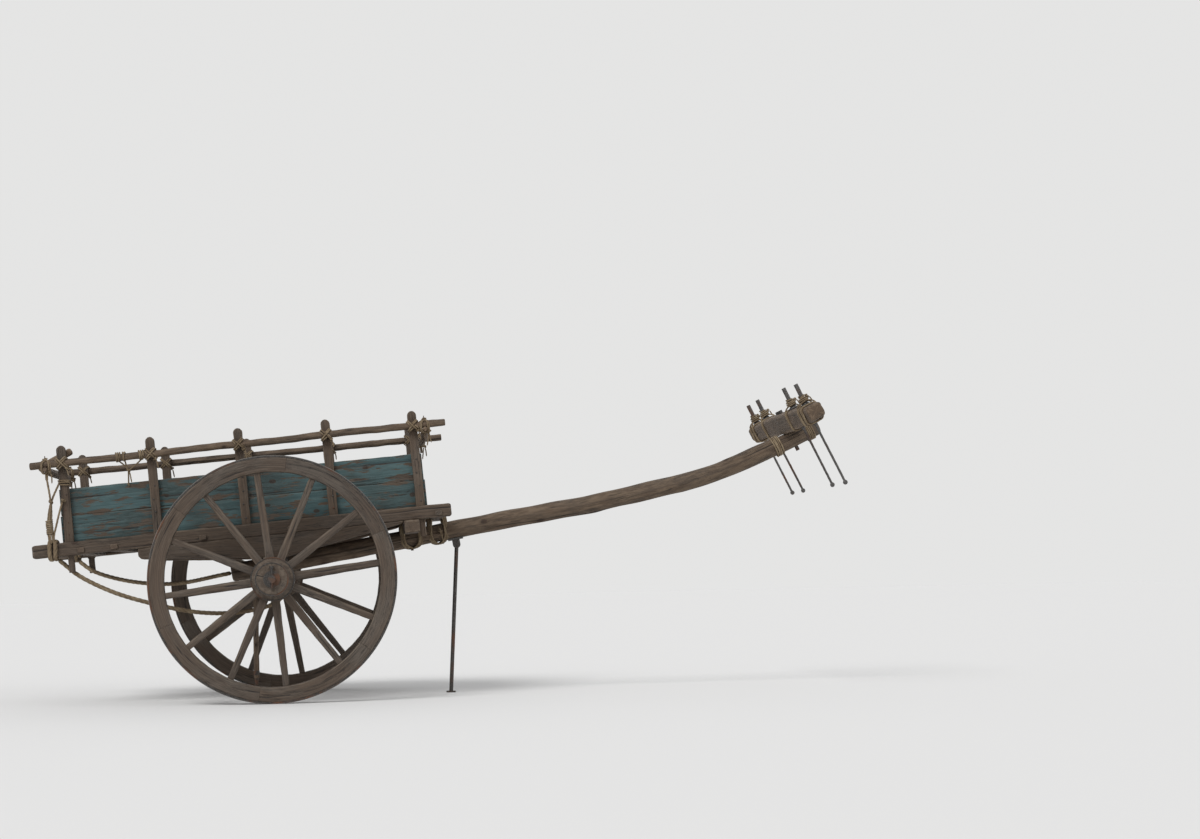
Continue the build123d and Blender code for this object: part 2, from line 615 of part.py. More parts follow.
turns = fillet(Box(TIE_W, BEAM_W + 4 * ROPE_R, BEAM_H + 4 * ROPE_R).edges(), TIE_EDGE)
beam_piece = Box(2 * TIE_W, BEAM_W, BEAM_H)
tie_places = {name: BED * Pos(TIE_AT, side * BEAM_Y, BEAM_H / 2) for name, side in SIDES}
parts["rope_ties"] = [place * (turns - beam_piece) for place in tie_places.values()]


def rope(spots):
    # Straight runs joined by tangent arcs, each as large as its runs allow.
    radii = []
    for before, spot, after in zip(spots, spots[1:], spots[2:]):
        turn = (spot - before).get_angle(after - spot)
        short = min((spot - before).length, (after - spot).length)
        radii.append(0.45 * short / tan(radians(turn / 2)))
    line = FilletPolyline(*spots, radius=radii)
    section = Plane(line @ 0, z_dir=line % 0) * Circle(ROPE_R)
    tube = sweep(section, line)
    print("rope radii", [round(r) for r in radii], "length", round(line.length),
          "volume ratio", round(tube.volume / (pi * ROPE_R ** 2 * line.length), 4))
    return tube


def rope_start(side):
    # From the middle of the turns' rounded front lower edge, and aslant out of them.
    edge = BED * Pos(TIE_AT + TIE_W / 2 - TIE_EDGE, side * ROPE_Y, TIE_EDGE - 2 * ROPE_R)
    along = edge * Rot(0, ROPE_SLANT, 0)
    return [(along * Pos(run, 0, 0)).position for run in (0, TIE_EDGE + ROPE_EXIT)]


bed_x, bed_y = ROPE_BED_END
bed_points = [Vector(bed_x, bed_y, bed_low - run) for run in (ROPE_BED_RUN, 0)]
pole_points = [(POLE * Pos(-POLE_TAIL - run, 0, 0)).position for run in (ROPE_POLE_RUN, 0)]
routes = {"left": (ROPE_LEFT, pole_points), "right": (ROPE_RIGHT, bed_points)}
for name, side in SIDES:
    points, ends = routes[name]
    middle = [Vector(x, y, WHEEL_R + z) for x, y, z in points]
    parts[f"rope_{name}"] = [rope(rope_start(side) + middle + ends) - tie_places[name] * turns]

# The origin is midway between the rearmost and foremost points, on the ground

everything = Compound([solid for solids in parts.values() for solid in solids])
reach = everything.bounding_box()
to_origin = Pos(-(reach.min.X + reach.max.X) / 2, 0, 0)
print("axle line at x =", round(to_origin.position.X, 3))

os.makedirs("parts", exist_ok=True)
for name, solids in parts.items():
    shape = to_origin * (solids[0] if len(solids) == 1 else Compound(solids))
    export_step(shape, f"parts/{name}.step")
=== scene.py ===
import json
import bpy
import numpy as np
from mathutils import Matrix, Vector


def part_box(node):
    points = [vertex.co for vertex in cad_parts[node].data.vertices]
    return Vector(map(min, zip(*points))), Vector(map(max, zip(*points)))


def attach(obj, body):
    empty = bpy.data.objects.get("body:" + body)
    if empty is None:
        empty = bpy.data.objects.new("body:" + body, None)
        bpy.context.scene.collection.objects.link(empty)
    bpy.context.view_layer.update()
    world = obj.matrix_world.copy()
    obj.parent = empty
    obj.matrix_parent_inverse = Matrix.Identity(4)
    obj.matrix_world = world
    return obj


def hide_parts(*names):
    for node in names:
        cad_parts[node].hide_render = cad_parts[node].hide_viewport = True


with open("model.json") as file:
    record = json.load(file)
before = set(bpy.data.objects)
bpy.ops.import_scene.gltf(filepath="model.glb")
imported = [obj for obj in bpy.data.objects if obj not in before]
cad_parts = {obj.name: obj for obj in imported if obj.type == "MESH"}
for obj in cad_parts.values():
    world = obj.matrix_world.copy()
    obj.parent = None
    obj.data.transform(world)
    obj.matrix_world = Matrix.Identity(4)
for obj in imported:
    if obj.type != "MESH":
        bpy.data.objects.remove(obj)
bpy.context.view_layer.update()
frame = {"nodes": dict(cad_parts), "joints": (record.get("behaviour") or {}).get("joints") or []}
print("frame loaded:", len(frame["nodes"]), "nodes")


# places: the bed, pole and yoke each have their own slope

cart = {"track": 1.4, "wheelRadius": 0.595, "bedUp": 0.220, "bedSlope": 5, "poleUp": 0.077, "poleSlope": 10}


def slope(origin, degrees):
    # a place: its middle, and its directions ahead, to the left and upwards
    c, s = np.cos(np.radians(degrees)), np.sin(np.radians(degrees))
    return np.array(origin, float), np.array([[c, 0, s], [0, 1, 0], [-s, 0, c]])


axleLow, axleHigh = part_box("axle_shaft")
axleX, axleZ = (axleLow.x + axleHigh.x) / 2, (axleLow.z + axleHigh.z) / 2
joints = {joint["name"]: joint for joint in frame["joints"]}
swivel = joints["yoke_swivel"]
yokeTilt = np.degrees(np.arctan2(-swivel["axis"][0], swivel["axis"][2]))
onAxle = slope((axleX, 0, axleZ), 0)
onBed = slope((axleX, 0, axleZ + cart["bedUp"]), cart["bedSlope"])
onPole = slope((axleX, 0, axleZ + cart["poleUp"]), cart["poleSlope"])
onYoke = slope(swivel["pos_m"], yokeTilt)
sides = {"left": 1, "right": -1}
toFront, toLeft, toTop = (1, 0, 0), (0, 1, 0), (0, 0, 1)


def put(place, points):
    # points given along a place's own directions, as points of the scene
    origin, axes = place
    return origin + np.asarray(points, float) @ axes


# mesh kit: every new piece is a skin of rings, closed to a point at both ends

def ringPlan(corner, flat):
    # a rounded rectangle as two sums: a part that follows the flats and a part that follows the corner's arc
    flats, arcs = [], []
    signs = [(1, 1), (-1, 1), (-1, -1), (1, -1), (1, 1)]
    for k in range(4):
        turn = np.radians(90 * k + np.linspace(0, 90, corner))
        arc = np.stack([np.cos(turn), np.sin(turn)], 1)
        share = np.linspace(0, 1, flat + 2)[1:-1, None]
        here, there = np.array(signs[k], float), np.array(signs[k + 1], float)
        flats += [np.repeat(here[None], corner, 0), here + (there - here) * share]
        arcs += [arc, np.repeat(arc[-1:], flat, 0)]
    return np.concatenate(flats), np.concatenate(arcs)


def ripple(rng, at, wave, size, terms=5):
    # a smooth wander: sines of random phase whose waves are near the given one
    rate = rng.uniform(0.55, 1.6, terms) * 2 * np.pi / wave
    phase = rng.uniform(0, 2 * np.pi, terms)
    return size * np.sin(at[..., None] * rate + phase).mean(-1) * 1.6


def ripple2(rng, along, across, waves, size, terms=9):
    # the same over a surface: plane waves of random phase
    turn = rng.uniform(0.4, 1.6, (terms, 2)) * 2 * np.pi / np.array(waves) * rng.choice([-1, 1], (terms, 2))
    phase = rng.uniform(0, 2 * np.pi, terms)
    angle = along[..., None] * turn[:, 0] + across[..., None] * turn[:, 1] + phase
    return size * np.sin(angle).mean(-1) * 1.8


def stations(length, step, cut):
    # places of the rings along a piece; at both ends the face closes inwards and its edge is rounded by cut
    turn = np.radians([90, 60, 30])
    body = np.linspace(cut, length - cut, max(3, int(length / step)))
    headAt = np.concatenate([[0, 0, 0], cut * (1 - np.sin(turn))])
    rounding = cut * (1 - np.cos(turn))
    inset = np.concatenate([[cut] * 3, rounding, body * 0, rounding[::-1], [cut] * 3])
    scale = np.concatenate([[0, 0.45, 0.8], turn * 0 + 1, body * 0 + 1, turn * 0 + 1, [0.8, 0.45, 0]])
    at = np.concatenate([headAt, body, (length - headAt)[::-1]])
    return at, inset, scale


def skin(rings, grain, marks, knot=None):
    # faces between neighbouring rings, and a fan of triangles at each end; turned so that they point outwards
    n, m = rings.shape[:2]
    flatten = lambda a: np.concatenate([a[:1].mean(1), a[1:-1].reshape(-1, a.shape[2]), a[-1:].mean(1)])
    verts = flatten(rings)
    row = np.arange(n - 3)[:, None] * m + 1
    j, k = np.arange(m), (np.arange(m) + 1) % m
    quads = np.stack([row + j, row + k, row + m + k, row + m + j], -1).reshape(-1, 4)
    last = len(verts) - 1
    head = np.stack([j * 0, 1 + k, 1 + j], 1)
    tail = np.stack([j * 0 + last, last - m + j, last - m + k], 1)
    tris = np.concatenate([head, tail])
    a, b, c = (verts[quads[:, i]] for i in (0, 1, 2))
    if np.einsum("ij,ij->i", a - verts.mean(0), np.cross(b - a, c - a)).sum() < 0:
        quads, tris = quads[:, ::-1], tris[:, ::-1]
    knot = np.full_like(marks, 9) if knot is None else knot
    return {"verts": verts, "quads": quads, "tris": tris, "grain": flatten(grain), "marks": flatten(marks),
            "knot": flatten(knot)}


def build(name, parts, material, body, stands=()):
    # one object from several skins, with the attributes that the materials read
    offset = np.cumsum([0] + [len(p["verts"]) for p in parts[:-1]])
    verts = np.concatenate([p["verts"] for p in parts])
    quads = np.concatenate([p["quads"] + o for p, o in zip(parts, offset)])
    tris = np.concatenate([p["tris"] + o for p, o in zip(parts, offset)])
    mesh = bpy.data.meshes.new(name)
    mesh.vertices.add(len(verts))
    mesh.vertices.foreach_set("co", verts.astype(np.float32).ravel())
    mesh.loops.add(quads.size + tris.size)
    mesh.loops.foreach_set("vertex_index", np.concatenate([quads.ravel(), tris.ravel()]).astype(np.int32))
    mesh.polygons.add(len(quads) + len(tris))
    totals = np.concatenate([np.full(len(quads), 4), np.full(len(tris), 3)]).astype(np.int32)
    mesh.polygons.foreach_set("loop_start", (np.cumsum(totals) - totals).astype(np.int32))
    mesh.polygons.foreach_set("loop_total", totals)
    mesh.update(calc_edges=True)
    mesh.polygons.foreach_set("use_smooth", np.ones(len(totals), bool))
    for key in ("grain", "marks", "knot"):
        values = np.concatenate([p[key] for p in parts]).astype(np.float32)
        mesh.attributes.new(key, "FLOAT_VECTOR", "POINT").data.foreach_set("vector", values.ravel())
    mesh.materials.append(material)
    piece = bpy.data.objects.new(name, mesh)
    bpy.context.scene.collection.objects.link(piece)
    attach(piece, body)
    if stands:
        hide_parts(*stands)
    return piece


plainStick = {"cut": 0.004, "corner": 5, "flat": 6, "hewn": (0.13, 0.06), "relief": 0.0006, "ridges": 0.00025,
              "splits": 0, "splitWidth": 0.0028, "splitDepth": 0.004, "knots": 0, "knotSwell": 0.0,
              "bend": 0.002, "pith": 0.05, "heart": (0, 0)}


def timber(place, start, end, half, look, up=(0, 0, 1), shape=None, line=None, trim=None):
    # a hand-worked stick of wood from start to end in a place's own directions: a rounded rectangle carried
    # along it, plus low plane waves, less drying splits. half is half its width and height; shape may give
    # them ring by ring, with a sideways and an upward shift and an edge radius. line bends the stick, as each
    # ring's middle and upward direction. trim cuts flats along its top or underside
    look = plainStick | look
    rng = np.random.default_rng(look["seed"])
    start, end, up = (np.array(v, float) for v in (start, end, up))
    length = np.linalg.norm(end - start)
    ahead = (end - start) / length
    side = np.cross(up, ahead)
    side /= np.linalg.norm(side)
    up = np.cross(ahead, side)
    at, inset, scale = stations(length, look["step"], look["cut"])
    sizes = np.tile(np.broadcast_to(half, 2).astype(float), (len(at), 1))
    shift = np.zeros((len(at), 2))
    edge = np.full(len(at), look["edge"])
    if shape:
        sizes, shift, edge = shape(at, sizes, shift, edge)
    sizes = np.maximum(sizes - inset[:, None], 0.0005)
    edge = np.clip(edge - inset, 0.0004, sizes.min(1))
    flats, arcs = ringPlan(look["corner"], look["flat"])
    section = (flats[None] * (sizes - edge[:, None])[:, None] + arcs[None] * edge[:, None, None])
    middle = section[len(at) // 2]
    around = np.concatenate([[0], np.cumsum(np.linalg.norm(np.diff(middle, axis=0), axis=1))])
    whole = around[-1] + np.linalg.norm(middle[0] - middle[-1])
    alongGrid, aroundGrid = np.meshgrid(at, around, indexing="ij")
    relief = ripple2(rng, alongGrid, aroundGrid, look["hewn"], look["relief"])
    relief += ripple2(rng, alongGrid, aroundGrid, (0.5, 0.011), look["ridges"])
    split = np.zeros_like(relief)
    for _ in range(look["splits"]):
        # a drying split: a narrow groove that wanders a little along the grain and fades at both ends
        middleAt, reach = rng.uniform(0, length), rng.uniform(0.08, 0.3) * max(length, 0.4)
        path = rng.uniform(0, around[-1]) + ripple(rng, at, 0.35, 0.003)
        fade = np.clip(1 - ((at - middleAt) / reach) ** 2, 0, 1)
        away = np.abs(aroundGrid - path[:, None]) / look["splitWidth"]
        split = np.maximum(split, fade[:, None] * np.exp(-away ** 2))
    relief -= split * look["splitDepth"]
    bent = np.zeros_like(relief)
    knot = np.full((*relief.shape, 3), 9.0)
    for k in range(look["knots"]):
        # a knot: a low swelling, longer along the grain, which parts to run round it. The material draws its
        # heart from the distances along and across the grain, in knot sizes, which are kept near it alone
        knotAt, knotTurn = (k + rng.uniform(0.25, 0.75)) * length / look["knots"], rng.uniform(0, whole)
        size = look["knotSize"] * rng.uniform(0.65, 1.25)
        beside = (aroundGrid - knotTurn + whole / 2) % whole - whole / 2
        near = ((alongGrid - knotAt) / (1.6 * size)) ** 2 + (beside / size) ** 2
        relief += look["knotSwell"] * np.exp(-near / 4) - 0.0012 * np.exp(-near * 1.5)
        bent += 0.85 * beside * np.exp(-near / 3.5)
        here = np.stack([(alongGrid - knotAt) / (1.6 * size), beside / size, near * 0], -1)
        knot = np.where(near[..., None] < 6.25, here, knot)
    relief *= (scale > 0.99)[:, None]
    section = section + arcs[None] * relief[..., None]
    section *= scale[:, None, None]
    bend = look["bend"]
    quiet = np.sin(np.pi * np.clip(at / length, 0, 1)) ** 0.5
    shift = shift + np.stack([ripple(rng, at, 0.9, bend), ripple(rng, at, 0.9, bend)], 1) * quiet[:, None]
    across = section + shift[:, None]
    if trim:
        across[..., 1] = trim(at, across[..., 1])
    centre = start + at[:, None] * ahead
    if line:
        centre, up = line(at)
        up = up[:, None]
    local = centre[:, None] + across[..., :1] * side + across[..., 1:] * up
    pith = rng.uniform(-0.5, 0.5, 2) * look["pith"] + look["heart"]
    course = np.roll(middle, -1, 0) - np.roll(middle, 1, 0)
    course /= np.linalg.norm(course, axis=1)[:, None]
    grain = np.concatenate([alongGrid[..., None] + rng.uniform(0, 40),
                            section + pith - bent[..., None] * course], -1)
    # worn edges: the corner arcs, where the part of the outline that follows the flats stands still
    stride = np.linalg.norm(flats - np.roll(flats, 1, 0), axis=1)
    worn = np.repeat((stride + np.roll(stride, -1) < 0.01)[None] * 1.0, len(at), 0)
    worn = np.maximum(worn, ((scale > 0.9) & (inset > 0.0001))[:, None])
    marks = np.stack([worn, np.full_like(worn, rng.uniform(0, 1)), split], -1)
    return skin(put(place, local), grain, marks, knot)


def turnedTo(look):
    # a stick turned on a lathe: its radius goes straight from each point of a profile to the next
    def shape(at, sizes, shift, edge):
        radius = np.interp(look["from"] + at, *np.transpose(look["profile"]))
        return np.repeat(radius[:, None], 2, 1), shift, radius
    return shape


# sticks that lie along a place, across it from side to side, or upright in it

def lengthwise(place, ends, y, z, half, look, seed, **rest):
    return timber(place, (ends[0], y, z), (ends[1], y, z), half, look | {"seed": seed}, **rest)


def crosswise(place, x, reach, z, half, look, seed, **rest):
    return timber(place, (x, -reach, z), (x, reach, z), half, look | {"seed": seed}, **rest)


def upright(place, x, y, ends, half, look, seed, **rest):
    return timber(place, (x, y, ends[0]), (x, y, ends[1]), half, look | {"seed": seed}, up=toFront, **rest)


# shader kit: sockets that can be added and multiplied, and one method for every other node

class Value:
    # one socket's output, which maths can be written with
    def __init__(self, sheet, socket):
        self.sheet, self.socket = sheet, socket

    def math(self, operation, *others):
        return self.sheet.add("ShaderNodeMath", {"operation": operation}, dict(enumerate((self, *others))))

    def __add__(self, other): return self.math("ADD", other)
    def __radd__(self, other): return self.math("ADD", other)
    def __mul__(self, other): return self.math("MULTIPLY", other)
    def __rmul__(self, other): return self.math("MULTIPLY", other)
    def __sub__(self, other): return self.math("SUBTRACT", other)
    def __pow__(self, other): return self.math("POWER", other)

    def __rsub__(self, other):
        return self.sheet.add("ShaderNodeMath", {"operation": "SUBTRACT"}, {0: other, 1: self})

    def between(self, low, high):
        # 0 below low, 1 above high and smooth in between
        return self.sheet.add("ShaderNodeMapRange", {"interpolation_type": "SMOOTHSTEP"},
                              {"Value": self, "From Min": low, "From Max": high})


class Sheet:
    # one material, with the colours, roughness, metal and relief that its surface ends in
    def __init__(self, name):
        self.material = bpy.data.materials.new(name)
        self.material.use_nodes = True
        self.tree = self.material.node_tree
        self.shader = self.tree.nodes["Principled BSDF"]

    def add(self, kind, settings=None, inputs=None, out=0):
        # any node: its settings first, and then the values or links of its sockets
        node = self.tree.nodes.new(kind)
        for key, value in (settings or {}).items():
            setattr(node, key, value)
        for key, value in (inputs or {}).items():
            if isinstance(value, Value):
                self.tree.links.new(value.socket, node.inputs[key])
            else:
                node.inputs[key].default_value = value
        return Value(self, node.outputs[out])

    def attribute(self, name):
        return self.add("ShaderNodeAttribute", {"attribute_name": name}, out="Vector")

    def split(self, vector):
        return [self.add("ShaderNodeSeparateXYZ", None, {0: vector}, out=axis) for axis in range(3)]

    def stretch(self, vector, sizes):
        return self.add("ShaderNodeVectorMath", {"operation": "MULTIPLY"}, {0: vector, 1: sizes})

    def noise(self, vector, scale, detail, rough=0.55):
        return self.add("ShaderNodeTexNoise", None,
                        {"Vector": vector, "Scale": scale, "Detail": detail, "Roughness": rough})

    def figure(self, vector, look):
        # noise drawn out by a look's sizes, which are waves per metre in each direction
        sizes, *rest = look
        return self.noise(self.stretch(vector, sizes), 1.0, *rest)

    def mix(self, share, first, second):
        return self.add("ShaderNodeMix", {"data_type": "RGBA"},
                        {0: share, 6: self.rgba(first), 7: self.rgba(second)}, out=2)

    def rgba(self, colour):
        return colour if isinstance(colour, Value) else (*colour, 1.0)

    def finish(self, colour, roughness, height, bump, distance, metal=None):
        self.tree.links.new(colour.socket, self.shader.inputs["Base Color"])
        self.tree.links.new(roughness.socket, self.shader.inputs["Roughness"])
        normal = self.add("ShaderNodeBump", None, {"Strength": bump, "Distance": distance, "Height": height})
        self.tree.links.new(normal.socket, self.shader.inputs["Normal"])
        if metal:
            self.tree.links.new(metal.socket, self.shader.inputs["Metallic"])
        return self.material


# noise in the wood: waves per metre along the grain and both ways across it, octaves, and roughness

woodFigure = {"drift": ((1.2, 14, 14), 2), "fibre": ((9, 420, 420), 4, 0.65),
              "streaks": ((1.6, 60, 60), 4, 0.6), "checks": ((2.2, 95, 95), 2), "checkRuns": ((3, 20, 20), 1),
              "patches": ((3, 9, 9), 3), "hairlines": ((5, 230, 230), 2), "ragged": ((60, 90, 90), 3),
              "wear": ((14, 60, 60), 3), "chips": ((8, 46, 46), 5, 0.65), "ringsPerMetre": 150,
              "ringDrift": 5}


def woodMaterial(name, tones, paint=None):
    # tones: the wood between its rings, its rings, worn edges, weathering, dark pieces, cracks and knots.
    # Rings are circles round the pith, by the distance across the grain; cracks lie where noise is near its
    # middle. The grain attribute runs along the stick and across it; marks hold worn edges, a tone and splits
    sheet = Sheet(name)
    grain = sheet.attribute("grain")
    worn, tone, split = sheet.split(sheet.attribute("marks"))
    _, y, z = sheet.split(grain)
    drift = sheet.figure(grain, woodFigure["drift"])
    radius = ((y * y + z * z) ** 0.5) * woodFigure["ringsPerMetre"] + drift * woodFigure["ringDrift"]
    rings = (radius.math("FRACT") - 0.5).math("ABSOLUTE").between(0.12, 0.5)
    fibre = sheet.figure(grain, woodFigure["fibre"])
    streaks = sheet.figure(grain, woodFigure["streaks"])
    checks = (sheet.figure(grain, woodFigure["checks"]) - 0.5).math("ABSOLUTE").between(0.022, 0.0)
    checks = checks * sheet.figure(grain, woodFigure["checkRuns"]).between(0.46, 0.62)
    patches = sheet.figure(grain, woodFigure["patches"])
    hairlines = (sheet.figure(grain, woodFigure["hairlines"]) - 0.5).math("ABSOLUTE").between(0.03, 0.0)
    hairlines = hairlines * patches.between(0.38, 0.6)
    along, beside, away = sheet.split(sheet.attribute("knot"))
    ragged = sheet.figure(grain, woodFigure["ragged"]) - 0.5
    knot = (along * along + beside * beside) ** 0.5 + ragged * 0.7
    heart = knot.between(1.05, 0.75) * away.between(0.5, 0.0)
    knotRings = (knot * 3.2).math("FRACT").between(0.35, 0.9)
    halo = knot.between(2.0, 1.0) * away.between(0.5, 0.0)
    colour = sheet.mix(rings * 0.55 + streaks.between(0.35, 0.7) * 0.4, tones["wood"], tones["ring"])
    colour = sheet.mix(patches.between(0.42, 0.68) * 0.55, colour, tones["weather"])
    colour = sheet.mix(fibre.between(0.45, 0.75) * 0.45, colour, tones["worn"])
    edgeWear = worn * sheet.figure(grain, woodFigure["wear"]).between(0.38, 0.62)
    colour = sheet.mix(edgeWear * 0.6, colour, tones["worn"])
    colour = sheet.mix(tone.between(0.0, 1.0) * 0.35, colour, tones["dark"])
    colour = sheet.mix(halo * 0.45, colour, tones["ring"])
    colour = sheet.mix(heart, colour, sheet.mix(knotRings, tones["knot"], tones["crack"]))
    height = fibre * 0.5 + rings * 0.25 + streaks * 0.35 + heart * (0.4 - knotRings * 0.6)
    rough = 0.92 - fibre * 0.25
    if paint:
        chips = sheet.figure(grain, woodFigure["chips"])
        keeps = chips.between(paint["bare"] - 0.03, paint["bare"] + 0.03)
        keeps = keeps * (1 - worn * chips.between(0.62, 0.45)) * (1 - heart * 0.85)
        faded = sheet.mix(streaks.between(0.3, 0.75), paint["colour"], paint["faded"])
        faded = sheet.mix(sheet.noise(grain, 3.0, 3).between(0.42, 0.62) * 0.6, faded, paint["grimy"])
        colour = sheet.mix(keeps * 0.94, colour, faded)
        height = height + keeps * 0.35
        rough = rough - keeps * 0.18
    colour = sheet.mix(checks * 0.85, colour, tones["crack"])
    colour = sheet.mix(hairlines * 0.6, colour, tones["crack"])
    height = height - checks * 1.4 - hairlines * 0.6
    colour = sheet.mix(split.between(0.25, 0.8) * 0.9, colour, tones["crack"])
    return sheet.finish(colour, rough, height, 0.55, 0.0022)


def ironMaterial(name, tones, tyreAt=None):
    # forged and rusty: dark scale and iron in fine grit, and rust where coarse and fine noise pass a level. A
    # tyre is ground bright where it runs on the road: tyreAt is its middle and its radius
    sheet = Sheet(name)
    objectCoords = sheet.add("ShaderNodeTexCoord", out="Object")
    hammer = sheet.add("ShaderNodeTexVoronoi", {"feature": "SMOOTH_F1"},
                       {"Vector": objectCoords, "Scale": 70.0})
    coarse = sheet.noise(objectCoords, 9.0, 4)
    grit = sheet.noise(objectCoords, 260.0, 4, 0.7)
    rust = (coarse * 0.75 + grit * 0.25).between(tones["rustFrom"], tones["rustFrom"] + 0.12)
    colour = sheet.mix(grit.between(0.35, 0.7), tones["dark"], tones["iron"])
    rustColour = sheet.mix(grit.between(0.4, 0.65), tones["rust"], tones["rustDark"])
    colour = sheet.mix(rust * 0.85, colour, rustColour)
    metal = 0.85 - rust * 0.75
    rough = 0.42 + rust * 0.4 + grit * 0.12
    height = hammer * 0.5 + grit * 0.35 + rust * 0.3
    if tyreAt:
        x, _, z = sheet.split(objectCoords)
        reach = ((x - tyreAt[0]) ** 2 + (z - tyreAt[1]) ** 2) ** 0.5
        ground = reach.between(tyreAt[2] - 0.0026, tyreAt[2] - 0.0004)
        scratch = sheet.figure(objectCoords, ((30, 900, 30), 3))
        shine = ground * (0.55 + scratch.between(0.35, 0.65) * 0.45)
        colour = sheet.mix(shine * 0.8, colour, tones["bright"])
        metal = metal + shine * 0.2
        rough = rough - shine * 0.18
    return sheet.finish(colour, rough, height, 0.45, 0.0015, metal)


def ropeMaterial(name, tones):
    # marks hold how deep a point lies between the strands, darkened there as painted shade; grain runs along
    # the twisted strands
    sheet = Sheet(name)
    grain = sheet.attribute("grain")
    deep, tone, _ = sheet.split(sheet.attribute("marks"))
    hairs = sheet.noise(sheet.stretch(grain, (40, 5.5, 1)), 4.0, 4, 0.7)
    patches = sheet.figure(grain, ((7, 0.3, 1), 2))
    colour = sheet.mix(hairs.between(0.3, 0.72), tones["dark"], tones["rope"])
    colour = sheet.mix(patches.between(0.45, 0.65) * 0.6, colour, tones["pale"])
    colour = sheet.mix(tone * 0.5, colour, tones["dark"])
    # painted shade: the creases between the strands are darkened towards the deep tone
    colour = sheet.mix(deep.between(0.35, 1.0) * 0.9, colour, tones["deep"])
    return sheet.finish(colour, 0.97 - hairs * 0.12, hairs - deep * 0.3, 0.6, 0.0012)


woodTones = {"wood": (0.088, 0.058, 0.037), "ring": (0.044, 0.029, 0.019), "worn": (0.185, 0.138, 0.096),
             "weather": (0.118, 0.098, 0.080), "dark": (0.038, 0.028, 0.021), "crack": (0.007, 0.005, 0.004),
             "knot": (0.050, 0.027, 0.015)}
poleTones = {"wood": (0.104, 0.066, 0.038), "ring": (0.056, 0.035, 0.021), "worn": (0.215, 0.152, 0.098),
             "weather": (0.102, 0.080, 0.061), "dark": (0.042, 0.029, 0.020), "crack": (0.008, 0.006, 0.004),
             "knot": (0.058, 0.030, 0.015)}
wheelTones = {"wood": (0.084, 0.057, 0.039), "ring": (0.043, 0.030, 0.021), "worn": (0.175, 0.136, 0.099),
              "weather": (0.128, 0.110, 0.092), "dark": (0.036, 0.027, 0.021), "crack": (0.006, 0.005, 0.004),
              "knot": (0.048, 0.026, 0.015)}
boardPaint = {"colour": (0.024, 0.064, 0.070), "faded": (0.058, 0.112, 0.115), "grimy": (0.024, 0.040, 0.038),
              "bare": 0.45}
ironTones = {"dark": (0.035, 0.032, 0.03), "iron": (0.12, 0.112, 0.105), "rust": (0.145, 0.062, 0.028),
             "rustDark": (0.06, 0.028, 0.016), "rustFrom": 0.5, "bright": (0.36, 0.34, 0.32)}
wornTones = {"dark": (0.062, 0.059, 0.056), "iron": (0.175, 0.168, 0.162), "rustFrom": 0.52}
# deep is a painted shade colour for the creases between the rope's strands
ropeTones = {"rope": (0.25, 0.182, 0.108), "pale": (0.36, 0.285, 0.185), "dark": (0.105, 0.073, 0.043),
             "deep": (0.024, 0.017, 0.010)}

frameWood = woodMaterial("frameWood", woodTones)
poleWood = woodMaterial("poleWood", poleTones)
wheelWood = woodMaterial("wheelWood", wheelTones)
paintedWood = woodMaterial("paintedWood", woodTones, boardPaint)
forgedIron = ironMaterial("forgedIron", ironTones)
wornIron = ironMaterial("wornIron", ironTones | wornTones)
coirRope = ropeMaterial("coirRope", ropeTones)
tyreIron = ironMaterial("tyreIron", ironTones, tyreAt=(axleX, axleZ, cart["wheelRadius"]))
print("materials made")


# rope kit: a tube of laid strands along a line of close points

plainTurns = {"pitch": 0.0086, "tuck": 0.3, "apart": 0.0}


def frames(points):
    # directions across a line, carried from point to point without twist
    ahead = np.gradient(points, axis=0)
    ahead /= np.linalg.norm(ahead, axis=1)[:, None]
    side = np.empty_like(ahead)
    first = np.cross(ahead[0], (0.3, 0.2, 0.93) if abs(ahead[0][2]) < 0.9 else (1, 0, 0))
    side[0] = first / np.linalg.norm(first)
    for i in range(1, len(points)):
        turned = side[i - 1] - ahead[i] * (side[i - 1] @ ahead[i])
        side[i] = turned / np.linalg.norm(turned)
    return side, np.cross(ahead, side)


def resample(points, step):
    # the same line in even steps, and how far along it each point is
    along = np.concatenate([[0], np.cumsum(np.linalg.norm(np.diff(points, axis=0), axis=1))])
    at = np.linspace(0, along[-1], max(4, int(along[-1] / step)))
    return np.stack([np.interp(at, along, points[:, i]) for i in range(3)], 1), at


def laidRope(points, radius, look):
    # the section is a circle with a crease between strands; it turns once in every lay along the line
    points, at = resample(np.asarray(points, float), look["step"])
    side, up = frames(points)
    m = look["around"]
    turn = np.linspace(0, 2 * np.pi, m, endpoint=False)
    twist = 2 * np.pi * at / (radius * look["lay"])
    phase = turn[None] - twist[:, None]
    crease = 1 - np.abs(np.cos(1.5 * phase)) ** 0.55
    ends = np.clip(np.minimum(np.arange(len(at)), np.arange(len(at))[::-1]) / 2, 0, 1) ** 0.5
    reach = radius * (1 - 0.24 * crease) * ends[:, None]
    across = reach[..., None] * (np.cos(turn)[None, :, None] * side[:, None]
                                 + np.sin(turn)[None, :, None] * up[:, None])
    rng = np.random.default_rng(look["seed"])
    grain = np.stack([np.repeat(at[:, None], m, 1) + rng.uniform(0, 9), phase / 2 / np.pi * 3, phase * 0], -1)
    # the first mark is the crease's depth, which the rope's colour darkens as painted shade
    marks = np.stack([crease, crease * 0 + rng.uniform(0, 1), crease * 0], -1)
    return skin(points[:, None] + across, grain, marks)


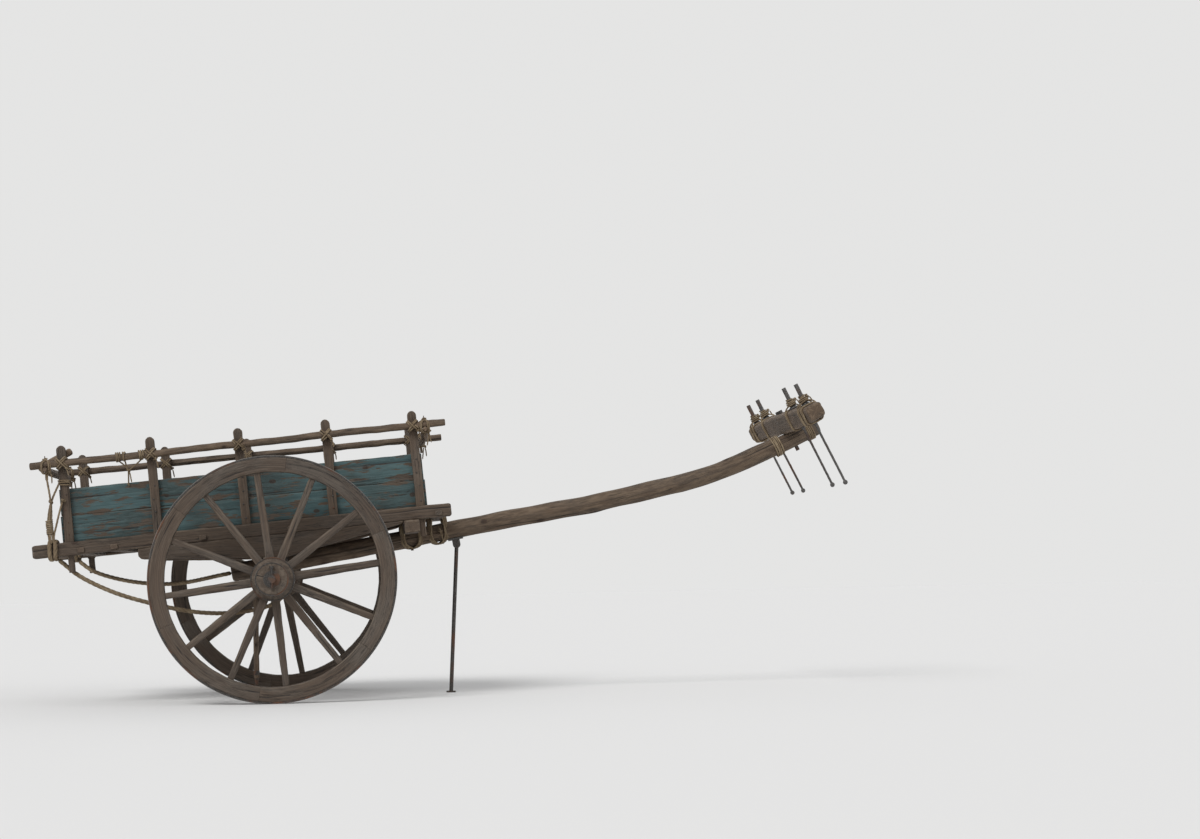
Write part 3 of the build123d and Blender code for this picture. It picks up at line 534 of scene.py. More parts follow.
def turns(place, centre, outs, look, seed):
    # turns of rope round something with a squarish section: a superellipse that creeps along its axis. outs
    # are the axis and the two directions across it, halves the reach along these. The second reach and the
    # power may be pairs, for where the first direction points and opposite; tuck draws both ends in
    look = plainTurns | look
    rng = np.random.default_rng(seed)
    count, pitch, (first, second) = look["count"], look["pitch"], look["halves"]
    t = np.linspace(0, 2 * np.pi * count, int(44 * count))
    c, s = np.cos(t), np.sin(t)
    power, second = (np.interp(c, (-1, 1), np.broadcast_to(pair, 2)[::-1])
                     for pair in (look["power"], second))
    reach = (np.abs(c) ** power + np.abs(s) ** power) ** (-1 / power)
    creep = pitch * (t / 2 / np.pi - count / 2) + ripple(rng, t, 5.0, pitch * 0.25)
    hold = 1 - look["tuck"] * np.exp(-np.minimum(t, t[-1] - t) / 0.35)
    reach = reach * hold * (1 + ripple(rng, t, 4.0, 0.02))
    return put(place, np.array(centre) + np.outer(c * reach * first, outs[1])
               + np.outer(s * reach * second, outs[2]) + np.outer(creep, outs[0]))


# the view of the photograph: the camera's directions, its place, counted from the axle along x, and its lens

view = {"right": (0.99463, -0.10168, -0.01916), "up": (0.01227, -0.06789, 0.99762),
        "ahead": (0.10274, 0.99250, 0.06627), "at": (0.432, -11.91, 0.595), "sensor": 36, "lens": 69.27}


def lookFrom():
    camera = bpy.data.objects.new("camera", bpy.data.cameras.new("camera"))
    bpy.context.scene.collection.objects.link(camera)
    turned = Matrix([view["right"], view["up"], [-v for v in view["ahead"]]]).transposed().to_4x4()
    x, y, z = view["at"]
    camera.matrix_world = Matrix.Translation((axleX + x, y, z)) @ turned
    camera.data.sensor_width = view["sensor"]
    camera.data.lens = view["lens"]
    camera.data.clip_end = 200
    bpy.context.scene.camera = camera


# a pale floor, a pale grey world that is a little brighter where the camera sees it, and three soft suns

studio = {"floor": (0.78, 0.775, 0.765), "reach": 60, "light": (0.505, 0.510, 0.520),
          "seen": (0.781, 0.781, 0.776),
          "suns": {"key": {"from": (-3.5, -5.0, 6.0), "width": 28, "power": 1.75},
                   "fill": {"from": (6.5, -6.0, 2.4), "width": 50, "power": 0.45},
                   "back": {"from": (0.5, 7.5, 4.0), "width": 50, "power": 0.45}}}


def stageSet():
    mesh = bpy.data.meshes.new("floor")
    reach = studio["reach"]
    mesh.from_pydata([(-reach, -reach, 0), (reach, -reach, 0), (reach, reach, 0), (-reach, reach, 0)], [],
                     [(0, 1, 2, 3)])
    floor = bpy.data.objects.new("floor", mesh)
    bpy.context.scene.collection.objects.link(floor)
    pale = bpy.data.materials.new("paleFloor")
    pale.use_nodes = True
    shader = pale.node_tree.nodes["Principled BSDF"]
    shader.inputs["Base Color"].default_value = (*studio["floor"], 1)
    shader.inputs["Roughness"].default_value = 1.0
    shader.inputs["Specular IOR Level"].default_value = 0.0
    mesh.materials.append(pale)
    world = bpy.data.worlds.new("studio")
    world.use_nodes = True
    bpy.context.scene.world = world
    tree = world.node_tree
    back = tree.nodes["Background"]
    back.inputs["Strength"].default_value = 1.0
    rays = tree.nodes.new("ShaderNodeLightPath")
    seen = tree.nodes.new("ShaderNodeMath")
    seen.operation = "MAXIMUM"
    tree.links.new(rays.outputs["Is Camera Ray"], seen.inputs[0])
    tree.links.new(rays.outputs["Is Glossy Ray"], seen.inputs[1])
    mix = tree.nodes.new("ShaderNodeMix")
    mix.data_type = "RGBA"
    tree.links.new(seen.outputs[0], mix.inputs[0])
    mix.inputs[6].default_value = (*studio["light"], 1)
    mix.inputs[7].default_value = (*studio["seen"], 1)
    tree.links.new(mix.outputs[2], back.inputs["Color"])
    for name, sun in studio["suns"].items():
        lamp = bpy.data.objects.new(name, bpy.data.lights.new(name, "SUN"))
        lamp.data.angle = np.radians(sun["width"])
        lamp.data.energy = sun["power"]
        bpy.context.scene.collection.objects.link(lamp)
        away = np.array(sun["from"]) / np.linalg.norm(sun["from"])
        side = np.cross((0, 0, 1), away)
        side /= np.linalg.norm(side)
        turned = Matrix([side, np.cross(away, side), away]).transposed().to_4x4()
        lamp.matrix_world = Matrix.Translation(sun["from"]) @ turned
    bpy.context.scene.view_settings.view_transform = "Standard"


lookFrom()
stageSet()
print("camera, floor and lamps set")


# the two ropes under the bed, as the points of their middle line from the axle line. Each leaves the turns
# round its beam at their lower front edge. The right one ends in the axle bed, the left one in the pole

ropes = {
    "radius": 0.011, "around": 21, "step": 0.005, "lay": 7.5, "seed": 3,
    "out": 0.403, "leaves": ((-1.054, -0.012), (-1.018645, -0.047355)),
    "right": {"length": 1.28, "endsOn": onAxle, "ends": [(0.038, -0.096, -0.063), (0.038, -0.096, -0.015)],
              "points": [(-0.958, -0.403, 0.038), (-0.868, -0.397, -0.013), (-0.750, -0.369, -0.066),
                         (-0.590, -0.322, -0.114), (-0.436, -0.268, -0.152), (-0.296, -0.210, -0.167),
                         (-0.166, -0.156, -0.162), (-0.052, -0.118, -0.140), (0.013, -0.101, -0.106)]},
    "left": {"length": 0.97, "endsOn": onPole, "ends": [(-0.308, 0, 0), (-0.238, 0, 0)],
             "points": [(-0.972, 0.403, 0.058), (-0.900, 0.393, 0.031), (-0.800, 0.358, 0.006),
                        (-0.690, 0.303, -0.010), (-0.584, 0.238, -0.016), (-0.482, 0.166, -0.010),
                        (-0.384, 0.066, 0.007)]}}


def ropeRoute(name):
    # two points on the beam's turns, those read from the photograph, and two in the wood where the rope ends
    rope = ropes[name]
    first = put(onBed, [(x, sides[name] * ropes["out"], z) for x, z in ropes["leaves"]])
    return np.concatenate([first, put(onAxle, rope["points"]), put(rope["endsOn"], rope["ends"])])


def smoothLine(name, route):
    # the route as a smooth line, read back from a NURBS curve with no thickness
    curve = bpy.data.curves.new(name, "CURVE")
    curve.dimensions = "3D"
    line = curve.splines.new("NURBS")
    line.points.add(len(route) - 1)
    line.points.foreach_set("co", np.column_stack([route, np.ones(len(route))]).ravel())
    line.order_u = 3
    line.use_endpoint_u = True
    line.resolution_u = 24
    holder = bpy.data.objects.new(name, curve)
    mesh = bpy.data.meshes.new_from_object(holder)
    points = np.empty(len(mesh.vertices) * 3)
    mesh.vertices.foreach_get("co", points)
    bpy.data.meshes.remove(mesh)
    bpy.data.objects.remove(holder)
    bpy.data.curves.remove(curve)
    return points.reshape(-1, 3)


for name in sides:
    line = smoothLine(name + "Line", ropeRoute(name))
    piece = build(name + "BedRope", [laidRope(line, ropes["radius"], ropes)], coirRope, "cart",
                  ["rope_" + name])
    length = float(np.linalg.norm(np.diff(line, axis=0), axis=1).sum())
    print(name, "rope follows", round(length, 3), "m")
print("bed ropes hung")

# CAD nodes that keep their shape get their finish

finishes = {
    forgedIron: ("axle_shaft", "axle_washers", "linchpins", "axle_clips", "pole_bolt", "prop_lugs",
                 "prop_rod", "stick_lugs", "king_pin", "hub_bands_left", "hub_bands_right", "hub_box_left",
                 "hub_box_right"),
    tyreIron: ("tyre_left", "tyre_right")}
for finish, nodes in finishes.items():
    for node in nodes:
        frame["nodes"][node].data.materials.clear()
        frame["nodes"][node].data.materials.append(finish)
print("iron finished")

# side beams, cross bearers and floor

beams = {"from": -1.168, "to": 0.875, "out": 0.430, "half": (0.038, 0.032),
         "step": 0.02, "edge": 0.007, "flat": 14, "corner": 4, "cut": 0.012, "bend": 0.0015, "relief": 0.0012,
         "ridges": 0.0004, "splits": 10, "knots": 6, "knotSize": 0.011, "knotSwell": 0.0012}
for name, side in sides.items():
    beam = lengthwise(onBed, (beams["from"], beams["to"]), side * beams["out"], beams["half"][1],
                      beams["half"], beams, 11 + side)
    build("sideBeam." + name, [beam], frameWood, "cart", ["side_beam_" + name])

bearers = {"at": (-0.935, -0.7745, -0.3455, 0.0835, 0.5125, 0.811), "half": (0.029, 0.021), "reach": 0.394,
           "tenonHalf": (0.017, 0.012), "tenonReach": 0.478,
           "step": 0.03, "edge": 0.004, "flat": 5, "corner": 3, "cut": 0.003, "splits": 2}
parts = []
for i, u in enumerate(bearers["at"]):
    for half, reach in (("half", "reach"), ("tenonHalf", "tenonReach")):
        parts.append(crosswise(onBed, u, bearers[reach], bearers["half"][1], bearers[half], bearers, 30 + i))
build("crossBearers", parts, frameWood, "cart", ["cross_bearers"])

planks = {"count": 7, "width": 0.1094, "gap": 0.003, "from": -1.036, "to": 0.840, "half": 0.011,
          "middle": 0.053, "uneven": (-0.006, 0.004), "step": 0.014, "edge": 0.003, "flat": 9, "corner": 3,
          "cut": 0.003, "bend": 0.0006, "relief": 0.0010, "ridges": 0.0006, "splits": 5, "splitDepth": 0.003,
          "heart": (0.03, 0.05), "knots": 4, "knotSize": 0.010}
plankAt = [(i - planks["count"] // 2) * (planks["width"] + planks["gap"]) for i in range(planks["count"])]
parts, rng = [], np.random.default_rng(41)
for i, y in enumerate(plankAt):
    back, front = rng.uniform(*planks["uneven"], 2)
    parts.append(lengthwise(onBed, (planks["from"] - back * 0.5, planks["to"] + front), y, planks["middle"],
                            (planks["width"] / 2, planks["half"]), planks, 50 + i))
build("floorPlanks", parts, frameWood, "cart", ["floor_planks"])
print("bed laid")

# stakes with worn round heads; the first and last have a tail under the beam

stakes = {"first": -0.989, "pitch": 0.429, "count": 5, "out": 0.430, "top": 0.539, "half": (0.015, 0.022),
          "tail": 0.084, "tailHalf": (0.013, 0.015), "step": 0.009, "edge": 0.006, "flat": 5, "corner": 4,
          "cut": 0.003, "bend": 0.0012, "relief": 0.0010, "ridges": 0.0004, "splits": 3}
stakeAt = [stakes["first"] + stakes["pitch"] * i for i in range(stakes["count"])]


def stakeShape(tail):
    # the head is half a circle as seen from the side and thins a little on top; the tail is thinner all round
    def shape(at, sizes, shift, edge):
        wide = stakes["half"][1]
        head = np.clip(at - (stakes["top"] + tail - wide), 0, wide * 0.999)
        sizes[:, 1] = np.sqrt(wide ** 2 - head ** 2)
        sizes[:, 0] *= 1 - 0.25 * (head / wide) ** 3
        if tail:
            sizes[at < tail] = stakes["tailHalf"]
        return sizes, shift, edge
    return shape


for name, side in sides.items():
    parts = []
    for i, u in enumerate(stakeAt):
        tail = stakes["tail"] if i in (0, stakes["count"] - 1) else 0
        parts.append(upright(onBed, u, side * stakes["out"], (-tail, stakes["top"]), stakes["half"], stakes,
                             60 + i + 5 * side, shape=stakeShape(tail)))
    build("stakes." + name, parts, frameWood, "cart", ["stakes_" + name])

# side boards inside the stakes, with worn blue-green paint; the upper row is a little shorter

boards = {"rows": ((0.064, 0.1942), (0.195, 0.326)), "from": -1.023, "to": 0.761, "shorter": (0.004, 0.005),
          "middle": 0.404, "half": 0.011, "step": 0.02, "edge": 0.003, "flat": 16, "corner": 3, "cut": 0.003,
          "bend": 0.001, "relief": 0.0012, "ridges": 0.0008, "splits": 7, "splitDepth": 0.0035,
          "heart": (0.03, 0.03), "knots": 8, "knotSize": 0.010}
for name, side in sides.items():
    parts = []
    for i, (low, high) in enumerate(boards["rows"]):
        ends = (boards["from"] + boards["shorter"][0] * i, boards["to"] - boards["shorter"][1] * i)
        parts.append(lengthwise(onBed, ends, side * boards["middle"], (low + high) / 2,
                                (boards["half"], (high - low) / 2), boards, 80 + i + 3 * side))
    build("sideBoards." + name, parts, paintedWood, "cart", ["side_boards_" + name])

# nails: low hammered domes, two in every crossing of a plank and a bearer, and four through every stake and
# the boards, which show on both faces. None sits quite where it should

nails = {"radius": 0.0048, "high": 0.0024, "sides": 9,
         "rings": ((0, -0.9), (1, -0.9), (0.97, 0.3), (0.62, 0.85), (0, 1)),
         "plankOff": 0.033, "plankTop": 0.0643, "plankStray": 0.012, "rises": (0.096, 0.164, 0.227, 0.294),
         "faces": ((0.4452, 1), (0.3928, -1)), "boardStray": (0.007, 0.006)}


def nailHead(place, at, out, rng):
    # rings of falling radius and rising height, a little oval
    out = np.array(out, float)
    side = np.cross(out, (0.81, 0.52, 0.27))
    side /= np.linalg.norm(side)
    turn = np.linspace(0, 2 * np.pi, nails["sides"], endpoint=False) + rng.uniform(0, 1)
    oval = nails["radius"] * rng.uniform(0.8, 1.15) * (1 + 0.07 * np.sin(2 * turn + rng.uniform(0, 6)))
    reach, lift = np.transpose(nails["rings"])
    reach = reach[:, None] * oval
    rings = (np.array(at) + (reach * np.cos(turn))[..., None] * side
             + (reach * np.sin(turn))[..., None] * np.cross(out, side)
             + (nails["high"] * lift)[:, None, None] * out)
    return skin(put(place, rings), rings * 0, rings * 0)


parts, rng = [], np.random.default_rng(95)
for u in bearers["at"]:
    for y in plankAt:
        for off in (-nails["plankOff"], nails["plankOff"]):
            x = u + rng.uniform(-nails["plankStray"], nails["plankStray"])
            parts.append(nailHead(onBed, (x, y + off, nails["plankTop"]), toTop, rng))
build("floorNails", parts, forgedIron, "cart")
parts = []
for side in sides.values():
    for u in stakeAt:
        for w in nails["rises"]:
            x, z = (at + rng.uniform(-stray, stray) for at, stray in zip((u, w), nails["boardStray"]))
            parts += [nailHead(onBed, (x, side * out, z), (0, side * way, 0), rng)
                      for out, way in nails["faces"]]
build("boardNails", parts, forgedIron, "cart")
print("box stood up")

# rails, the bars under their ends, their pegs and the lever: round sticks with knots and bends

rails = {"from": -1.142, "to": 0.888, "out": 0.4628, "up": 0.459, "radius": 0.0175,
         "rise": {"left": (-0.006, -0.014), "right": (-0.0095, 0.006)}, "longer": {"left": 0.010, "right": 0},
         "step": 0.008, "edge": 0.0175, "flat": 0, "corner": 7, "cut": 0.005, "bend": 0.003, "relief": 0.0012,
         "hewn": (0.16, 0.08), "ridges": 0.0003, "splits": 4, "splitDepth": 0.003, "pith": 0.006,
         "knots": 8, "knotSize": 0.0065, "knotSwell": 0.0022}
bars = {"at": (-1.066, 0.785), "reach": 0.5088, "up": 0.4212, "radius": 0.020, "tip": 0.0120, "notch": 0.004,
        "step": 0.008, "edge": 0.020, "flat": 0, "corner": 7, "cut": 0.005, "bend": 0.0025, "relief": 0.0013,
        "hewn": (0.16, 0.08), "ridges": 0.0003, "splits": 3, "splitDepth": 0.003, "pith": 0.006,
        "knots": 4, "knotSize": 0.007, "knotSwell": 0.0022}
pegs = {"low": 0.3852, "high": 0.5025, "radius": 0.007, "point": 0.026, "step": 0.006, "edge": 0.007,
        "flat": 0, "corner": 4, "cut": 0.001, "bend": 0.0, "relief": 0.0004, "pith": 0.004}
lever = {"back": -0.048, "ahead": 0.136, "out": 0.3967, "slope": 24, "over": 0.0383, "sunk": 0.008,
         "radius": 0.018, "step": 0.006, "edge": 0.018, "flat": 0, "corner": 6, "cut": 0.012, "bend": 0.001,
         "relief": 0.0010, "splits": 2, "splitDepth": 0.002, "pith": 0.006}


def railRise(name, u):
    # the rails don't lie quite along the bed: each gains or loses height evenly from its rear to its front
    return float(np.interp(u, (rails["from"], rails["to"]), rails["rise"][name]))


def barShape(u):
    # a bar thins towards its ends, and its top follows the rails' undersides, notched a little to seat them
    right, left = (railRise(name, u) + bars["notch"] for name in ("right", "left"))

    def shape(at, sizes, shift, edge):
        across = at / bars["reach"] - 1
        radius = np.interp(np.abs(across), (0.5, 0.84, 1), (bars["radius"], bars["tip"], bars["tip"] * 0.93))
        rise = bars["radius"] - radius + np.abs(across) ** 1.5 * np.where(across < 0, right, left)
        return np.repeat(radius[:, None], 2, 1), shift + rise[:, None] * (0, 1), radius
    return shape


def pegShape(at, sizes, shift, edge):
    # a peg's top runs evenly to a blunt point
    taper = np.clip((pegs["high"] - pegs["low"] - at) / pegs["point"], 0.3, 1)
    return sizes * taper[:, None], shift, edge * taper


for name, side in sides.items():
    y = side * rails["out"]
    ends = [(x, y, rails["up"] + railRise(name, x))
            for x in (rails["from"], rails["to"] + rails["longer"][name])]
    rail = timber(onBed, *ends, rails["radius"], rails | {"seed": 100 + side})
    build("rail." + name, [rail], poleWood, "cart", ["rail_" + name])
parts = [crosswise(onBed, u, bars["reach"], bars["up"], bars["radius"], bars, 104 + i, shape=barShape(u))
         for i, u in enumerate(bars["at"])]
build("crossBars", parts, poleWood, "cart", ["cross_bars"])
parts = [upright(onBed, u, side * rails["out"], np.add((pegs["low"], pegs["high"]), railRise(name, u)),
                 pegs["radius"], pegs, 110, shape=pegShape)
         for u in bars["at"] for name, side in sides.items()]
build("railPegs", parts, poleWood, "cart", ["rail_pegs"])
c, s = np.cos(np.radians(lever["slope"])), np.sin(np.radians(lever["slope"]))
middle = np.array([bars["at"][0], -lever["out"], bars["up"] + lever["over"] / c - lever["sunk"]])
start, end = (middle + np.array([c, 0, s]) * lever[reach] for reach in ("back", "ahead"))
part = timber(onBed, start, end, lever["radius"], lever | {"seed": 115})
build("ropeLever", [part], poleWood, "cart", ["rope_lever"])
print("rails tied on")

# sills: level under the axle bed, thinning to both tips under the side beams

sills = {"rear": -0.660, "front": 0.630, "half": 0.035, "rearDepth": 0.054, "frontDepth": 0.012,
         "bedTop": 0.107, "bedHalf": 0.053, "rearRound": 0.026, "frontRound": 0.0085, "step": 0.012,
         "edge": 0.006, "flat": 8, "corner": 4, "cut": 0.003, "bend": 0.0015, "relief": 0.0012,
         "ridges": 0.0004, "splits": 6, "knots": 3, "knotSize": 0.010, "knotSwell": 0.001}


def underBeam(x):
    # height of the beams' underside, which slopes with the bed
    return cart["bedUp"] + x * np.tan(np.radians(cart["bedSlope"]))


def sillShape(at, sizes, shift, edge):
    # the underside goes straight between four heights, and a quarter circle rounds it up at both tips
    x = sills["rear"] + at
    stops = [sills["rear"], -sills["bedHalf"], sills["bedHalf"], sills["front"]]
    lows = [underBeam(stops[0]) - sills["rearDepth"], sills["bedTop"], sills["bedTop"],
            underBeam(stops[3]) - sills["frontDepth"]]
    low = np.interp(x, stops, lows)
    for away, radius in ((x - stops[0], sills["rearRound"]), (stops[3] - x, sills["frontRound"])):
        low += radius - np.sqrt(radius ** 2 - (radius - np.clip(away, 0, radius)) ** 2)
    top = underBeam(x)
    sizes[:, 1] = (top - low) / 2
    shift[:, 1] = (top + low) / 2
    return sizes, shift, edge


for name, side in sides.items():
    part = lengthwise(onAxle, (sills["rear"], sills["front"]), side * beams["out"], 0, sills["half"], sills,
                      120 + side, shape=sillShape)
    build("sill." + name, [part], frameWood, "cart", ["sill_" + name])

# axle bed and the beam that ties the pole to the side beams

axleBed = {"reach": 0.5655, "low": -0.015, "high": 0.107, "half": 0.053, "step": 0.02, "edge": 0.009,
           "flat": 14, "corner": 4, "cut": 0.005, "bend": 0.001, "relief": 0.0014, "ridges": 0.0004,
           "splits": 8, "knots": 3, "knotSize": 0.012, "knotSwell": 0.001}
part = crosswise(onAxle, 0, axleBed["reach"], (axleBed["low"] + axleBed["high"]) / 2,
                 (axleBed["half"], (axleBed["high"] - axleBed["low"]) / 2), axleBed, 130)
build("axleBed", [part], frameWood, "cart", ["axle_bed"])
poleBearer = {"at": 0.674, "reach": 0.498, "half": (0.038, 0.031), "step": 0.02, "edge": 0.007, "flat": 10,
              "corner": 4, "cut": 0.007, "bend": 0.001, "relief": 0.0012, "splits": 6,
              "knots": 3, "knotSize": 0.010}
part = crosswise(onBed, poleBearer["at"], poleBearer["reach"], -poleBearer["half"][1], poleBearer["half"],
                 poleBearer, 132)
build("poleBearer", [part], frameWood, "cart", ["pole_bearer"])

# pole: a peeled trunk, straight and then bent up to the yoke, flat where it meets the axle bed and the yoke

pole = {"tail": 0.238, "curveAt": 1.8, "curveRadius": 3.41, "rise": np.radians(16), "nose": 0.150,
        "radius": 0.046, "seatHalf": 0.0535, "seatAt": -0.0264, "seatSlope": 0.1763, "yokeHalf": 0.078,
        "yokeAt": 0.040, "step": 0.009, "edge": 0.046, "flat": 0, "corner": 12, "cut": 0.012, "bend": 0.0035,
        "relief": 0.0022, "hewn": (0.30, 0.13), "ridges": 0.0006, "splits": 9, "splitWidth": 0.0035,
        "splitDepth": 0.007, "pith": 0.012, "knots": 9, "knotSize": 0.013, "knotSwell": 0.004}
poleLength = pole["tail"] + pole["curveAt"] + pole["curveRadius"] * pole["rise"] + pole["nose"]
yokeOnPole = poleLength - pole["nose"]


def poleLine(at):
    # straight, then an arc, then straight again along the arc's last direction
    x = at - pole["tail"]
    turn = np.clip((x - pole["curveAt"]) / pole["curveRadius"], 0, pole["rise"])
    past = np.maximum(x - pole["curveAt"] - pole["curveRadius"] * pole["rise"], 0)
    c, s = np.cos(turn), np.sin(turn)
    points = np.stack([np.minimum(x, pole["curveAt"]) + pole["curveRadius"] * s + past * c, x * 0,
                       pole["curveRadius"] * (1 - c) + past * s], 1)
    return points, np.stack([-s, x * 0, c], 1)


def poleFlats(at, across):
    # the underside is level over the axle bed, and the top is flat under the yoke
    x = (at - pole["tail"])[:, None]
    seat = np.where(np.abs(x) < pole["seatHalf"], pole["seatAt"] - pole["seatSlope"] * x, -1)
    top = np.where(np.abs(at[:, None] - yokeOnPole) < pole["yokeHalf"], pole["yokeAt"], 1)
    return np.clip(across, seat, top)


part = lengthwise(onPole, (0, poleLength), 0, 0, pole["radius"], pole, 140, line=poleLine, trim=poleFlats)
build("longPole", [part], poleWood, "cart", ["pole"])
print("pole laid")

# wheels: every spoke and felloe has its even place, apart from two spokes a side that stand a little off

wheel = {"phase": 8, "joint": 15, "spokes": 12, "off": {"left": {8: 2, 9: 3}, "right": {8: -1.5, 9: -1.5}},
         "felloes": 6}
spokes = {"from": 0.085, "root": 0.106, "rim": 0.515, "to": 0.519, "rootHalf": (0.023, 0.020),
          "tipHalf": (0.018, 0.015), "shaveRun": 0.16, "shave": 0.006, "step": 0.014, "edge": 0.006,
          "flat": 4, "corner": 4, "cut": 0.002, "bend": 0.0010, "relief": 0.0009, "ridges": 0.0003,
          "splits": 1, "splitDepth": 0.002, "pith": 0.03}
felloes = {"middle": 0.550, "half": (0.028, 0.035), "tyreAt": 0.0348, "gap": 0.0003, "step": 0.016,
           "edge": 0.0065, "flat": 10, "corner": 4, "cut": 0.0010, "bend": 0.0, "relief": 0.0012,
           "ridges": 0.0004, "splits": 4, "splitDepth": 0.004, "heart": (0.05, 0.02)}
hub = {"from": -0.1275, "to": 0.1475, "step": 0.0035, "edge": 0.1, "flat": 0, "corner": 18, "relief": 0.0007,
       "hewn": (0.05, 0.2), "ridges": 0.0, "splits": 7, "splitDepth": 0.005, "splitWidth": 0.0035,
       "cut": 0.003, "bend": 0.0, "pith": 0.004,
       "profile": ((-0.128, 0.074), (-0.106, 0.074), (-0.104, 0.077), (-0.098, 0.078), (-0.078, 0.086),
                   (-0.062, 0.091), (-0.059, 0.100), (-0.038, 0.100), (-0.037, 0.106), (0.037, 0.106),
                   (0.038, 0.100), (0.059, 0.100), (0.062, 0.091), (0.080, 0.086), (0.112, 0.079),
                   (0.124, 0.077), (0.126, 0.074), (0.148, 0.074))}


def spokeShape(at, sizes, shift, edge):
    # an even taper from the hub to the rim; the corners are shaved off between the ends
    share = np.clip((spokes["from"] + at - spokes["root"]) / (spokes["rim"] - spokes["root"]), 0, 1)[:, None]
    sizes = np.array(spokes["rootHalf"]) * (1 - share) + np.array(spokes["tipHalf"]) * share
    shaved = np.clip(np.minimum(share, 1 - share) / spokes["shaveRun"], 0, 1)[:, 0]
    return sizes, shift, edge + spokes["shave"] * shaved ** 2


def felloeLine(turn):
    # part of a circle round the hub, in the plane of the wheel
    def line(at):
        here = turn + at / felloes["middle"]
        out = np.stack([np.cos(here), here * 0, np.sin(here)], 1)
        return out * felloes["middle"], out
    return line


def felloeTrim(at, across):
    # its outside stops at the seat of the tyre
    return np.minimum(across, felloes["tyreAt"])


for name, side in sides.items():
    hubPlace = slope((axleX, side * cart["track"] / 2, axleZ), 0)
    seed = 200 + 40 * side
    parts = []
    for i in range(wheel["spokes"]):
        turn = np.radians(wheel["phase"] + 360 / wheel["spokes"] * i + wheel["off"][name].get(i, 0))
        out, across = np.array([np.cos(turn), 0, np.sin(turn)]), np.array([-np.sin(turn), 0, np.cos(turn)])
        parts.append(timber(hubPlace, out * spokes["from"], out * spokes["to"], spokes["rootHalf"],
                            spokes | {"seed": seed + i}, up=across, shape=spokeShape))
    build("spokes." + name, parts, wheelWood, "wheel_" + name, ["spokes_" + name])
    parts = []
    gap = felloes["gap"] / felloes["middle"]
    for i in range(wheel["felloes"]):
        first = np.radians(wheel["phase"] + wheel["joint"] + 360 / wheel["felloes"] * i) + gap
        length = (2 * np.pi / wheel["felloes"] - 2 * gap) * felloes["middle"]
        parts.append(lengthwise(hubPlace, (0, length), 0, 0, felloes["half"], felloes, seed + 20 + i,
                                line=felloeLine(first), trim=felloeTrim))
    build("felloes." + name, parts, wheelWood, "wheel_" + name, ["felloes_" + name])
    part = timber(hubPlace, (0, side * hub["from"], 0), (0, side * hub["to"], 0), hub["edge"],
                  hub | {"seed": seed + 30}, up=toFront, shape=turnedTo(hub))
    build("hub." + name, [part], wheelWood, "wheel_" + name, ["hub_" + name])
print("wheels made")

# yoke: arched on top, with a worn hollow over each neck

yoke = {"reach": 0.850, "low": 0.041, "height": 0.104, "drop": 0.015, "half": 0.041, "neck": 0.550,
        "hollow": 0.135, "dip": 0.022, "tipFrom": 0.685, "step": 0.012, "edge": 0.017, "flat": 8, "corner": 6,
        "cut": 0.010, "bend": 0.0015, "relief": 0.0016, "hewn": (0.2, 0.08), "ridges": 0.0004, "splits": 7,
        "splitDepth": 0.005, "knots": 3, "knotSize": 0.012, "knotSwell": 0.0015}


def yokeFaces(y):
    # heights of its underside and top at a distance from its middle: the top is a parabola, and the underside
    # has half a wave of a cosine over each neck and rises evenly to the tips
    top = yoke["low"] + yoke["height"] - yoke["drop"] * (y / yoke["reach"]) ** 2
    fromNeck = np.clip((y - yoke["neck"]) / yoke["hollow"], -1, 1)
    low = yoke["low"] + yoke["dip"] * np.cos(fromNeck * np.pi / 2) ** 1.5
    low += yoke["drop"] * np.clip((y - yoke["tipFrom"]) / (yoke["reach"] - yoke["tipFrom"]), 0, 1)
    return low, top


def yokeShape(at, sizes, shift, edge):
    # its section stands between the two faces
    low, top = yokeFaces(np.abs(at - yoke["reach"]))
    sizes[:, 1] = (top - low) / 2
    shift[:, 1] = (top + low) / 2
    return sizes, shift, edge


part = crosswise(onYoke, 0, yoke["reach"], 0, yoke["half"], yoke, 300, shape=yokeShape)
build("yokeBeam", [part], poleWood, "yoke", ["yoke_beam"])

# yoke pins: a forged shank with a collar over the beam and a thin rod, worn bright, under it

pins = {"at": (0.393, 0.707), "shank": 0.011, "rod": 0.006, "knob": 0.012, "collar": 0.020,
        "collarHigh": 0.014, "gap": 0.0003, "above": 0.118, "below": 0.330, "step": 0.0025, "edge": 0.01,
        "flat": 0, "corner": 5, "cut": 0.0015, "bend": 0.0012, "relief": 0.0005, "hewn": (0.03, 0.02),
        "ridges": 0.0}


def pinSeat(y):
    # height of the yoke's top under the inner edge of a pin's collar
    edge = (abs(y) - pins["collar"]) / yoke["reach"]
    return yoke["low"] + yoke["height"] - yoke["drop"] * edge ** 2 + pins["gap"]


def pinShape(y):
    # from below: a ball, a rod, the shank, its collar and the shank again
    def shape(at, sizes, shift, edge):
        w = at + yoke["low"] - pins["below"] - pins["knob"]
        low, seat, top = yoke["low"], pinSeat(y), pinSeat(y) + pins["collarHigh"]
        stops = ((low - 0.012, "rod"), (low - 0.010, "shank"), (seat - 0.0005, "shank"),
                 (seat + 0.001, "collar"), (top - 0.001, "collar"), (top + 0.0005, "shank"))
        radius = np.interp(w, *zip(*((stop, pins[part]) for stop, part in stops)))
        fromKnob = w - (yoke["low"] - pins["below"])
        knob = np.sqrt(np.clip(pins["knob"] ** 2 - fromKnob ** 2, 0, None))
        radius = np.where(fromKnob < 0, knob, np.maximum(radius, knob))
        return np.repeat(radius[:, None], 2, 1), shift, radius
    return shape


